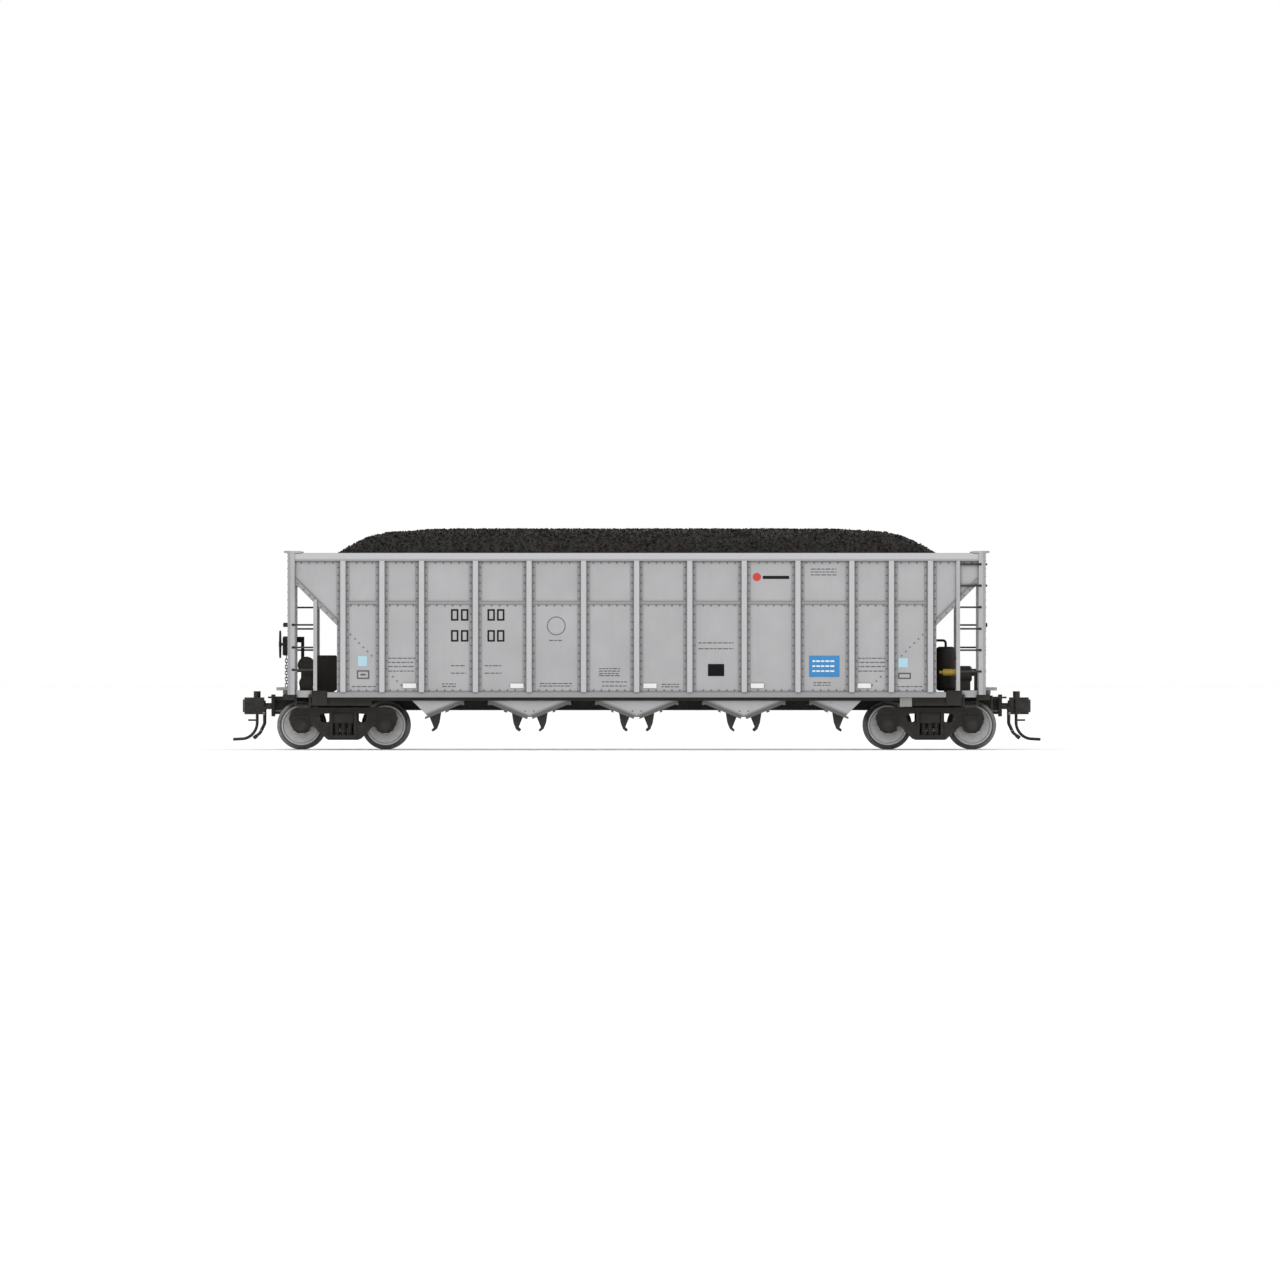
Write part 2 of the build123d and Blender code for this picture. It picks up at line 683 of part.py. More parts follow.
def brake_cylinder():
    """The A-end brake cylinder, lying along the car on a pedestal, with its lever bracket."""
    y, z = CYLINDER_Y, CYLINDER_Z
    with BuildPart() as cylinder:
        rod((77.4, y, z), (81.0, y, z), 1.95)
        fillet(cylinder.edges().filter_by(GeomType.CIRCLE).group_by(Axis.X)[-1], 0.7)
        rod((77.4, y, z), (77.9, y, z), 2.25)
        block((78.0, 80.6), (y - 1.1, y + 1.1), (DECK_Z, z))
        rod((80.9, y, z), (81.9, y, z), 0.5)
        prism([(81.5, DECK_Z), (82.3, DECK_Z), (82.3, 19.2), (81.5, 19.2)], (y - 0.5, y + 0.5))
    return cylinder


def slack_adjuster():
    """The bright sleeve on the brake cylinder's push rod."""
    y, z = CYLINDER_Y, CYLINDER_Z + 0.4
    with BuildPart() as sleeve:
        rod((74.0, y, z), (77.4, y, z), 0.8)
        rod((73.1, y, z), (74.0, y, z), 0.4)
    return sleeve


def door_reservoir():
    """The upright tank that feeds the door cylinder, with its pipe to the slope sheet."""
    x, y, radius = 74.75, -5.4, 2.42
    top = 24.9
    with BuildPart() as tank:
        rod((x, y, 14.2), (x, y, top), radius)
        fillet(tank.edges().filter_by(GeomType.CIRCLE), 1.0)
        rod((x, y, 17.0), (x, y, 17.5), radius + 0.15)
        rod((x, y, 21.8), (x, y, 22.3), radius + 0.15)
        block((74.7, 77.0), (y - 1.6, y + 1.6), (DECK_Z, 14.8))
        bent_wire([(x, y, top - 0.2), (x, y, 26.4), (68.8, y, 26.4)], 0.7, 0.3)
    return tank


# ---------------------------------------------------------------- couplers


def coupler():
    """The A-end coupler: a ring on the pivot post, the shank and the head with its guard arm."""
    z = COUPLER_Z
    pin_x, pin_y = KNUCKLE_PIN
    lug_gap = (z - KNUCKLE_HALF_HEIGHT - 0.06, z + KNUCKLE_HALF_HEIGHT + 0.06)
    shank_z = (z - SHANK_HALF_HEIGHT, z + SHANK_HALF_HEIGHT)
    with BuildPart() as head:
        with BuildSketch(Plane.XY.offset(HEAD_BOTTOM)):
            Polygon(
                (HEAD_START, -1.9), (HEAD_START, 1.9), (93.4, 1.95), (94.9, 2.1), (95.0, 1.45),
                (93.2, 1.0), (92.3, 0.35), (92.3, -1.9), align=None,
            )
            with Locations((pin_x, pin_y)):
                Circle(0.85)
        extrude(amount=HEAD_TOP - HEAD_BOTTOM)
        with BuildSketch(Plane.XY.offset(lug_gap[0])):
            with Locations((pin_x, pin_y)):
                Circle(1.0)
            with Locations((pin_x + 1.5, pin_y - 0.35)):
                Rectangle(3.0, 2.7)
        extrude(amount=lug_gap[1] - lug_gap[0], mode=Mode.SUBTRACT)
        rod((pin_x, pin_y, HEAD_TOP), (pin_x, pin_y, HEAD_TOP + 1.5), 0.85)
        block((PIVOT_X, HEAD_START + 0.3), (-0.9, 0.9), shank_z)
        block((HEAD_START - 0.35, HEAD_START), (-1.3, 1.3), (z - 1.3, z + 1.3))
        rod((PIVOT_X, 0, RING_BOTTOM), (PIVOT_X, 0, POCKET_ROOF - 0.1), 2.0)
        rod((PIVOT_X, 0, 9), (PIVOT_X, 0, 12), POST_R + 0.07, mode=Mode.SUBTRACT)
        rod((pin_x, pin_y, HEAD_BOTTOM - 1), (pin_x, pin_y, HEAD_TOP + 0.6), PIN_R + 0.06, mode=Mode.SUBTRACT)
    return head


def knuckle():
    """The A-end knuckle: a hooked jaw on its own pin."""
    z = COUPLER_Z
    pin_x, pin_y = KNUCKLE_PIN
    with BuildPart() as jaw:
        with BuildSketch(Plane.XY.offset(z - KNUCKLE_HALF_HEIGHT)):
            with Locations((pin_x, pin_y)):
                Circle(0.8)
            Polygon(
                (pin_x, -1.95), (94.7, -2.0), (95.3, -1.6), (HEAD_FACE, -0.9), (HEAD_FACE, 0.2),
                (95.0, 0.6), (94.2, 0.45), (94.0, -0.35), (93.3, -0.75), (pin_x, -0.6), align=None,
            )
        extrude(amount=2 * KNUCKLE_HALF_HEIGHT)
        rod((pin_x, pin_y, HEAD_BOTTOM), (pin_x, pin_y, HEAD_TOP + 0.5), PIN_R)
    return jaw


def trip_pin():
    """The curved steel wire under the A-end coupler head."""
    with BuildPart() as pin:
        bent_wire(
            [(91.9, 0.6, HEAD_BOTTOM), (91.9, 0.5, 2.75), (97.7, -1.5, 2.45)], 4.1, 0.36,
        )
        rod((91.9, 0.6, 7.1), (94.1, 0.6, 7.1), 0.22)
    return pin


def centring_spring():
    """The A-end whisker spring: a plate under the pivot ring with two blades beside the shank."""
    skin = 0.13
    plate_z = (LID_TOP + 0.06, RING_BOTTOM)
    blade_x = (82.3, 86.4)
    with BuildPart() as spring:
        rod((PIVOT_X, 0, plate_z[0]), (PIVOT_X, 0, plate_z[1]), 1.9)
        block((PIVOT_X, 83.1), (-1.45, 1.45), plate_z)
        for side in (-1, 1):
            blade = [
                (blade_x[0], side * 1.3), (blade_x[1], side * 1.75),
                (blade_x[1], side * (1.75 + skin)), (blade_x[0], side * (1.3 + skin)),
            ]
            plate(Plane.XY.offset(plate_z[0]), blade, 1.5)
        rod((PIVOT_X, 0, 9), (PIVOT_X, 0, 12), POST_R + 0.07, mode=Mode.SUBTRACT)
    return spring


# ---------------------------------------------------------------- trucks

FRAME_IN, FRAME_OUT = 11.0, 12.8
WINDOW_HALF = 2.5
SPRING_SEAT, SPRING_TOP = 3.5, 6.4
WINDOW_TOP = 8.9


def sideframe(truck_x, side):
    """A cast sideframe: pedestals, tension and compression members, spring nest and journals."""
    quarter = [
        (11.3, 10.2), (12.6, 9.3), (13.15, 7.6), (12.8, 6.2), (12.0, 4.7), (11.0, 4.0), (9.2, 4.0),
        (8.1, 4.6), (8.0, 5.5), (7.0, 5.7), (6.1, 4.4), (3.6, 2.36),
    ]
    window = [(3.4, 8.75), (5.5, 8.6), (5.9, 7.6), (5.3, 6.7), (3.9, 6.5), (3.4, 6.9)]
    bolt_ring, bolt_r = 0.85, 0.2

    def across(near, far):
        return (side * near, side * far)

    def at_truck(points, way):
        return [(truck_x + way * x, z) for x, z in points]

    with BuildPart() as frame:
        outline = at_truck(quarter, 1) + at_truck(quarter[::-1], -1)
        prism(outline, across(FRAME_IN, FRAME_OUT))
        for way in (-1, 1):
            prism(at_truck(window, way), across(FRAME_IN - 1, FRAME_OUT + 1), mode=Mode.SUBTRACT)
        block((truck_x - WINDOW_HALF, truck_x + WINDOW_HALF), across(FRAME_IN - 1, FRAME_OUT + 1),
              (SPRING_SEAT, WINDOW_TOP), mode=Mode.SUBTRACT)
        rib = across(FRAME_OUT, FRAME_OUT + 0.35)
        block((truck_x - 10.8, truck_x + 10.8), rib, (9.45, 10.2))
        block((truck_x - 3.9, truck_x + 3.9), rib, (2.5, 3.4))
        block((truck_x - 2.9, truck_x + 2.9), across(FRAME_IN, FRAME_OUT + 0.6), (2.9, SPRING_SEAT))
        for way in (-1, 1):
            prism(at_truck([(3.9, 2.5), (3.9, 3.5), (7.3, 6.9), (7.9, 6.3)], way), rib)
            block((truck_x + way * 2.6, truck_x + way * 3.2), rib, (3.4, 9.45))
            axle_x = truck_x + way * HALF_WHEELBASE
            block((axle_x - 1.9, axle_x + 1.9), across(10.7, 13.3), (4.6, 8.2))
            rod((axle_x, side * 12.8, AXLE_Z), (axle_x, side * 14.0, AXLE_Z), 1.6)
            rod((axle_x, side * 14.0, AXLE_Z), (axle_x, side * 14.35, AXLE_Z), 1.25)
            for step in range(3):
                turn = Vector(bolt_ring, 0, 0).rotate(Axis.Y, 120 * step + 30)
                bolt = (axle_x + turn.X, side * 14.35, AXLE_Z + turn.Z)
                rod(bolt, (bolt[0], side * 14.5, bolt[2]), bolt_r)
            with BuildSketch(Plane(origin=(axle_x, 0, AXLE_Z), x_dir=(0, side, 0), z_dir=(0, 0, 1))):
                Polygon(*bearing_profile(), align=None)
            revolve(axis=Axis((axle_x, 0, AXLE_Z), (0, 1, 0)), mode=Mode.SUBTRACT)
        for place in (-1.6, 0, 1.6):
            rod((truck_x + place, side * 12.0, SPRING_SEAT), (truck_x + place, side * 12.0, SPRING_TOP), 0.58)
    return frame


def bearing_profile():
    """The journal's bearing hollow, as (distance across the car, radius) points."""
    play = 0.12
    return [
        (10.0, 0),
        (10.0, JOURNAL_R + RUNNING_GAP),
        (CONE_START_Y + play, JOURNAL_R + RUNNING_GAP),
        (AXLE_TIP_Y + play, TIP_R + RUNNING_GAP),
        (AXLE_TIP_Y + play, 0),
    ]


def truck_bolster(truck_x):
    """The truck's cross beam with centre plate, side bearings and the kingpin hole."""
    with BuildPart() as beam:
        block((truck_x - 2.4, truck_x + 2.4), (-12.9, 12.9), (SPRING_TOP, 8.8))
        with BuildSketch(Plane.YZ.offset(truck_x - 2.2)):
            Polygon((-10.6, 8.8), (-10.6, 6.4), (-6.5, 5.2), (6.5, 5.2), (10.6, 6.4), (10.6, 8.8), align=None)
        extrude(amount=4.4)
        rod((truck_x, 0, 8.8), (truck_x, 0, 9.5), 2.6)
        for side in (-1, 1):
            block((truck_x - 1.1, truck_x + 1.1), (side * 5.4, side * 7.4), (8.8, 9.3))
        rod((truck_x, 0, 4), (truck_x, 0, 10), 0.95 + RUNNING_GAP, mode=Mode.SUBTRACT)
    return beam


def brake_beams(truck_x):
    """Two brake beams hung from the bolster, each with a shoe for both wheels."""
    shoe_gap = 0.35
    with BuildPart() as beams:
        for way in (-1, 1):
            axle_x = truck_x + way * HALF_WHEELBASE
            block((truck_x + way * 2.2, truck_x + way * 3.0), (-0.8, 0.8), (5.3, 6.2))
            block((truck_x + way * 3.0, truck_x + way * 3.7), (-9.7, 9.7), (5.3, 6.2))
            for side in (-1, 1):
                block((truck_x + way * 3.5, truck_x + way * 5.4), (side * 8.3, side * 9.7), (4.2, 6.6))
            rod((axle_x, -10, AXLE_Z), (axle_x, 10, AXLE_Z), TREAD_R + shoe_gap, mode=Mode.SUBTRACT)
    return beams


def axle(axle_x):
    """A steel axle with needle-point ends."""
    half = [
        (0, AXLE_R),
        (WHEEL_FRONT + 0.05, AXLE_R),
        (WHEEL_FRONT + 0.25, JOURNAL_R),
        (CONE_START_Y, JOURNAL_R),
        (AXLE_TIP_Y, TIP_R),
        (AXLE_TIP_Y, 0),
    ]
    with BuildPart() as shaft:
        with BuildSketch(Plane(origin=(axle_x, 0, AXLE_Z), x_dir=(0, 1, 0), z_dir=(0, 0, 1))):
            Polygon(*half, *[(-y, r) for y, r in reversed(half)], align=None)
        revolve(axis=Axis((axle_x, 0, AXLE_Z), (0, 1, 0)))
    return shaft


def wheel_profile():
    """A scale wheel's section, as (distance across the car, radius) points."""
    back, front = WHEEL_BACK, WHEEL_FRONT
    tread_foot = TREAD_R + 0.04
    return [
        (back + 0.15, AXLE_R),
        (back + 0.15, 2.0),
        (back + 1.05, 2.35),
        (back + 0.75, 4.25),
        (back, 4.45),
        (back, FLANGE_R - 0.32),
        (back + 0.16, FLANGE_R - 0.06),
        (back + 0.34, FLANGE_R),
        (back + 0.5, FLANGE_R - 0.06),
        (back + 0.78, tread_foot + 0.12),
        (back + 0.98, tread_foot),
        (front - 0.25, TREAD_R - 0.06),
        (front - 0.05, TREAD_R - 0.2),
        (front, TREAD_R - 0.35),
        (front, 4.45),
        (front - 0.5, 4.2),
        (front - 0.75, 2.45),
        (front - 0.1, 2.05),
        (front - 0.1, AXLE_R),
    ]


def wheels(axle_x):
    """A pair of wheels pressed on one axle."""
    with BuildPart() as pair:
        for side in (-1, 1):
            with BuildSketch(Plane(origin=(axle_x, 0, AXLE_Z), x_dir=(0, side, 0), z_dir=(0, 0, side))):
                Polygon(*wheel_profile(), align=None)
            revolve(axis=Axis((axle_x, 0, AXLE_Z), (0, 1, 0)))
    return pair


# ---------------------------------------------------------------- the pieces

right_panel = side_panel()
save(right_panel, "side_panel_right")
save(other_end(right_panel), "side_panel_left")
save(end_frame(), "end_frame_a")
save(other_end(end_frame(extra_posts=(-7.36,))), "end_frame_b")
save_both_ends(slope_sheet(), "slope_sheet")
save(floor_hoods(), "floor_hoods")
save(bay_side_plates(), "bay_side_plates")
save(bay_doors(1), "bay_doors_left")
save(bay_doors(-1), "bay_doors_right")
save(cross_ties(), "cross_ties")
save(coal_load(), "coal_load")

save(underframe(), "underframe")
save(draft_box_lids(), "draft_box_lids")
save(lid_screws(), "lid_screws")
save(kingpin_screws(), "kingpin_screws")
save(end_decks(), "end_decks")

save_both_ends(ladders(), "ladders")
save_both_ends(crossover_platform(), "crossover_platform")
save(stirrup_steps(), "stirrup_steps")
save_both_ends(air_hoses(), "air_hoses")
save_both_ends(cut_lever(), "cut_lever")
save(tag_plates(), "tag_plates")

save(brake_housing(), "brake_housing")
save(brake_wheel(), "brake_wheel")
save(brake_chain(), "brake_chain")
save(brake_reservoir(), "brake_reservoir")
save(reservoir_bracket(), "reservoir_bracket")
save(control_valve(), "control_valve")
save(brake_cylinder(), "brake_cylinder")
save(slack_adjuster(), "slack_adjuster")
save(door_reservoir(), "door_reservoir")

save_both_ends(coupler(), "coupler")
save_both_ends(knuckle(), "knuckle")
save_both_ends(trip_pin(), "trip_pin")
save_both_ends(centring_spring(), "centring_spring")

for letter, way in (("a", 1), ("b", -1)):
    middle = way * TRUCK_X
    save(truck_bolster(middle), f"truck_bolster_{letter}")
    save(brake_beams(middle), f"brake_beams_{letter}")
    for hand, side in (("left", 1), ("right", -1)):
        save(sideframe(middle, side), f"sideframe_{letter}_{hand}")
    for number, step in ((1, 1), (2, -1)):
        place = middle + way * step * HALF_WHEELBASE
        save(axle(place), f"axle_{letter}{number}")
        save(wheels(place), f"wheels_{letter}{number}")
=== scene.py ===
import math
import random

import bmesh
import bpy
from mathutils import Matrix, Vector, noise

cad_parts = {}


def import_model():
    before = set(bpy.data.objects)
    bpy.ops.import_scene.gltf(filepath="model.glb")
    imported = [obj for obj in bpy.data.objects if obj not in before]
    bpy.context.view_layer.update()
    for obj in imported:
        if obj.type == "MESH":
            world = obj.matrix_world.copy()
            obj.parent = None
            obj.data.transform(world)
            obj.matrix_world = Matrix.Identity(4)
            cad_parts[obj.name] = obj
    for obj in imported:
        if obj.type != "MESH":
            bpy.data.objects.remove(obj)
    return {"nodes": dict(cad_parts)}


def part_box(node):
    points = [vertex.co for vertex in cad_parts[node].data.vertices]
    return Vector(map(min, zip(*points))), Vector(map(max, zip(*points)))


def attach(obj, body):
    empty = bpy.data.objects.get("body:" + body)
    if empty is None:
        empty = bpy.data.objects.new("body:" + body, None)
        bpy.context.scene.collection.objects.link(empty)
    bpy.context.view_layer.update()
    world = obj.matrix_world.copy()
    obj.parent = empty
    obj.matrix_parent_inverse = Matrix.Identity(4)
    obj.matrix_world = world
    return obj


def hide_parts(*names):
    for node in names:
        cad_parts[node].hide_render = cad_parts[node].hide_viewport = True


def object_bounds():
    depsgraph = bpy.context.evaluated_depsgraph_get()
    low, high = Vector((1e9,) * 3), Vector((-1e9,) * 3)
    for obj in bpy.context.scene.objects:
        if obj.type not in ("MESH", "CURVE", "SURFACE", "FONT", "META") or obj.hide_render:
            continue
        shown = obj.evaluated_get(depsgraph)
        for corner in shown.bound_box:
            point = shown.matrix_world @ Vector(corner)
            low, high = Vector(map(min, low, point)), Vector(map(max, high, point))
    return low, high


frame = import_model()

MM = 0.001
CAD_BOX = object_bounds()
ENDS = (("a", 1), ("b", -1))
SIDES = (("left", 1), ("right", -1))


def node_box(node):
    """A CAD node's lowest and highest corners, in millimetres."""
    low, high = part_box(node)
    return low / MM, high / MM


# ---------------------------------------------------------------- sizes, in millimetres, from the frame

# side panels: distances from the car's centre line, heights, and places along it
PANEL_LOW, PANEL_HIGH = node_box("side_panel_right")
POST_OUT = -PANEL_LOW.y  # crowns of the posts
SHEET_OUT = POST_OUT - 0.85  # the sheet between the posts
FOOT_OUT = SHEET_OUT + 0.12  # the posts' flat feet
CORNER_OUT = POST_OUT + 0.12  # the corner posts
CHORD_TOP = PANEL_HIGH.z
CHORD_BOTTOM = CHORD_TOP - 1.9
SILL_TOP = PANEL_LOW.z + 1.24
LAP_Z = 35.2  # the seam between the upper and lower sheets
SLOPE_OFFSET = 42.3  # the slope sheets lie where X - Z has this value
TRUCK_X = (node_box("truck_bolster_a")[0].x + node_box("truck_bolster_a")[1].x) / 2
POST_PLACES = (0, 12.8, 25.95, 38.9, 51.9, 61.45, TRUCK_X)
ALL_POSTS = sorted({sign * place for place in POST_PLACES for sign in (-1, 1)})

# ends
END_IN = PANEL_HIGH.x
END_OUT = END_IN + 1.7
SUNK = 0.1  # how far a fixing reaches into the post behind it
MIDDLE_POST_Y, END_POST_Y, CORNER_CLIP_Y, CORNER_RIVET_Y = 2.8, 11.9, 16.95, 17.6
STRAP_NEAR, STRAP_FAR, STRAP_MIDDLE_Z, STRAP_HALF = 1.27, 2.42, 36.0, 6.2
RUNG_HEIGHTS = (18.9, 24.05, 29.2, 34.4, 39.6, 44.75)
LOW_RUNG_HEIGHTS = (19.3, 24.7, 30.15)
RAIL_Z = 30.15
STILE_X, STILE_HALF = 77.55, 0.47

# bays
BAY_PITCH = 25.88
BAY_LOW, BAY_HIGH = node_box("bay_side_plates")
BAY_APEX_Z, BAY_APEX_HALF = BAY_LOW.z, 0.5
BAY_SLOPE = (BAY_HIGH.z - BAY_LOW.z) / 9.6
HOOK_Y, HOOK_HALF, HOOK_TOP = 12.5, 0.52, 8.9

# load and wheels
LOAD_LOW, LOAD_HIGH = node_box("coal_load")
WHEEL_LOW, WHEEL_HIGH = node_box("wheels_a1")
AXLE_Z = (WHEEL_LOW.z + WHEEL_HIGH.z) / 2
HALF_WHEELBASE = abs((WHEEL_LOW.x + WHEEL_HIGH.x) / 2 - TRUCK_X)
RIM_R = 4.95


# ---------------------------------------------------------------- mesh building

class Shape:
    """Points in millimetres and faces, gathered into one piece."""

    def __init__(self):
        self.points = []
        self.faces = []

    def add(self, points, faces):
        start = len(self.points)
        self.points.extend(tuple(point) for point in points)
        self.faces.extend(tuple(start + corner for corner in face) for face in faces)

    def piece(self, name, material, body, slot, smooth=35):
        mesh = bpy.data.meshes.new(name)
        mesh.from_pydata([(x * MM, y * MM, z * MM) for x, y, z in self.points], [], self.faces)
        mesh.polygons.foreach_set("use_smooth", [True] * len(mesh.polygons))
        mesh.set_sharp_from_angle(angle=math.radians(smooth))
        mesh.materials.append(material)
        made = bpy.data.objects.new(name, mesh)
        bpy.context.scene.collection.objects.link(made)
        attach(made, body)
        return made


def facing(normal):
    """A rotation that turns +Z to a direction."""
    return Vector(normal).to_track_quat("Z", "Y").to_matrix()


def ring_faces(lower, upper, count):
    """The faces between two rings of points, each given by its first point."""
    faces = []
    for step in range(count):
        after = (step + 1) % count
        faces.append((lower + step, lower + after, upper + after, upper + step))
    return faces


def add_dome(shape, centre, normal, radius, height, sides=8):
    """A rivet head standing on a surface, its rim a little below it."""
    turn = facing(normal)
    rings = ((1.0, 0.0), (0.86, 0.55), (0.5, 0.9))  # shares of the radius and of the height
    below = 0.02
    points = [
        Vector(centre) + turn @ Vector((
            radius * share * math.cos(math.tau * step / sides),
            radius * share * math.sin(math.tau * step / sides),
            height * rise - below,
        ))
        for share, rise in rings
        for step in range(sides)
    ]
    points.append(Vector(centre) + turn @ Vector((0, 0, height)))
    faces = [tuple(range(sides - 1, -1, -1))]
    for ring in range(len(rings) - 1):
        faces.extend(ring_faces(ring * sides, (ring + 1) * sides, sides))
    last = (len(rings) - 1) * sides
    faces.extend((last + step, last + (step + 1) % sides, len(points) - 1) for step in range(sides))
    shape.add(points, faces)


CORNER_SHARE = 1.4  # a corner moves in along the diagonal, so about 1.4 times the edge width


def add_prism(shape, outline, turn, centre, thickness, edge=0.0):
    """A plate: an outline across a direction, with its outer rim eased by an edge width."""
    count = len(outline)
    middle = sum((Vector((*corner, 0)) for corner in outline), Vector()) / count
    layers = [(0.0, 0.0), (thickness, 0.0)]
    if edge:
        layers[1:] = [(thickness - edge, 0.0), (thickness, edge)]
    points = []
    for rise, inset in layers:
        for corner in outline:
            flat = Vector((*corner, 0))
            inward = middle - flat
            flat += inward.normalized() * inset * CORNER_SHARE if inset else Vector()
            points.append(Vector(centre) + turn @ Vector((flat.x, flat.y, rise)))
    faces = [tuple(range(count - 1, -1, -1))]
    for layer in range(len(layers) - 1):
        faces.extend(ring_faces(layer * count, (layer + 1) * count, count))
    faces.append(tuple((len(layers) - 1) * count + step for step in range(count)))
    shape.add(points, faces)


def rounded_outline(width, height, corner, steps=4):
    """The corners of a rounded rectangle about the origin."""
    outline = []
    for sign_x, sign_y, start in ((1, 1, 0), (-1, 1, 90), (-1, -1, 180), (1, -1, 270)):
        for step in range(steps + 1):
            angle = math.radians(start + 90 * step / steps)
            outline.append((sign_x * (width / 2 - corner) + corner * math.cos(angle),
                            sign_y * (height / 2 - corner) + corner * math.sin(angle)))
    return outline


def add_tube(shape, path, radius, sides=8, closed=False):
    """A round tube along points."""
    path = [Vector(point) for point in path]
    count = len(path)
    points, faces = [], []
    side_way = None
    for index, point in enumerate(path):
        if closed:
            ahead, behind = path[(index + 1) % count], path[index - 1]
        else:
            ahead, behind = path[min(index + 1, count - 1)], path[max(index - 1, 0)]
        along = (ahead - behind).normalized()
        if side_way is None:
            side_way = along.orthogonal().normalized()
        side_way = (side_way - along * side_way.dot(along)).normalized()
        up = along.cross(side_way)
        for step in range(sides):
            angle = math.tau * step / sides
            points.append(point + (side_way * math.cos(angle) + up * math.sin(angle)) * radius)
    for index in range(count if closed else count - 1):
        faces.extend(ring_faces(index * sides, (index + 1) % count * sides, sides))
    if not closed:
        faces.append(tuple(range(sides - 1, -1, -1)))
        faces.append(tuple((count - 1) * sides + step for step in range(sides)))
    shape.add(points, faces)


def add_box(shape, low, high, edge=0.05):
    """A small block with its edges eased all round."""
    low, high = Vector(low), Vector(high)
    corners = []
    for x in (0, 1):
        for y in (0, 1):
            for z in (0, 1):
                pick = (x, y, z)
                outer = Vector([high[axis] if pick[axis] else low[axis] for axis in range(3)])
                inward = Vector([-edge if pick[axis] else edge for axis in range(3)])
                for axis in range(3):
                    point = outer + inward
                    point[axis] = outer[axis]
                    corners.append(point)
    solid = bmesh.new()
    for point in corners:
        solid.verts.new(point)
    bmesh.ops.convex_hull(solid, input=solid.verts)
    solid.verts.index_update()
    shape.add([vert.co.copy() for vert in solid.verts],
              [tuple(vert.index for vert in face.verts) for face in solid.faces])
    solid.free()


def add_corner_box(shape, end, side, near, far, edge=0.05):
    """A block at one corner of the car, given by its limits at the A end's +Y corner."""
    ends = [(end * x, side * y, z) for x, y, z in (near, far)]
    add_box(shape, [min(pair) for pair in zip(*ends)], [max(pair) for pair in zip(*ends)], edge)


# ---------------------------------------------------------------- materials

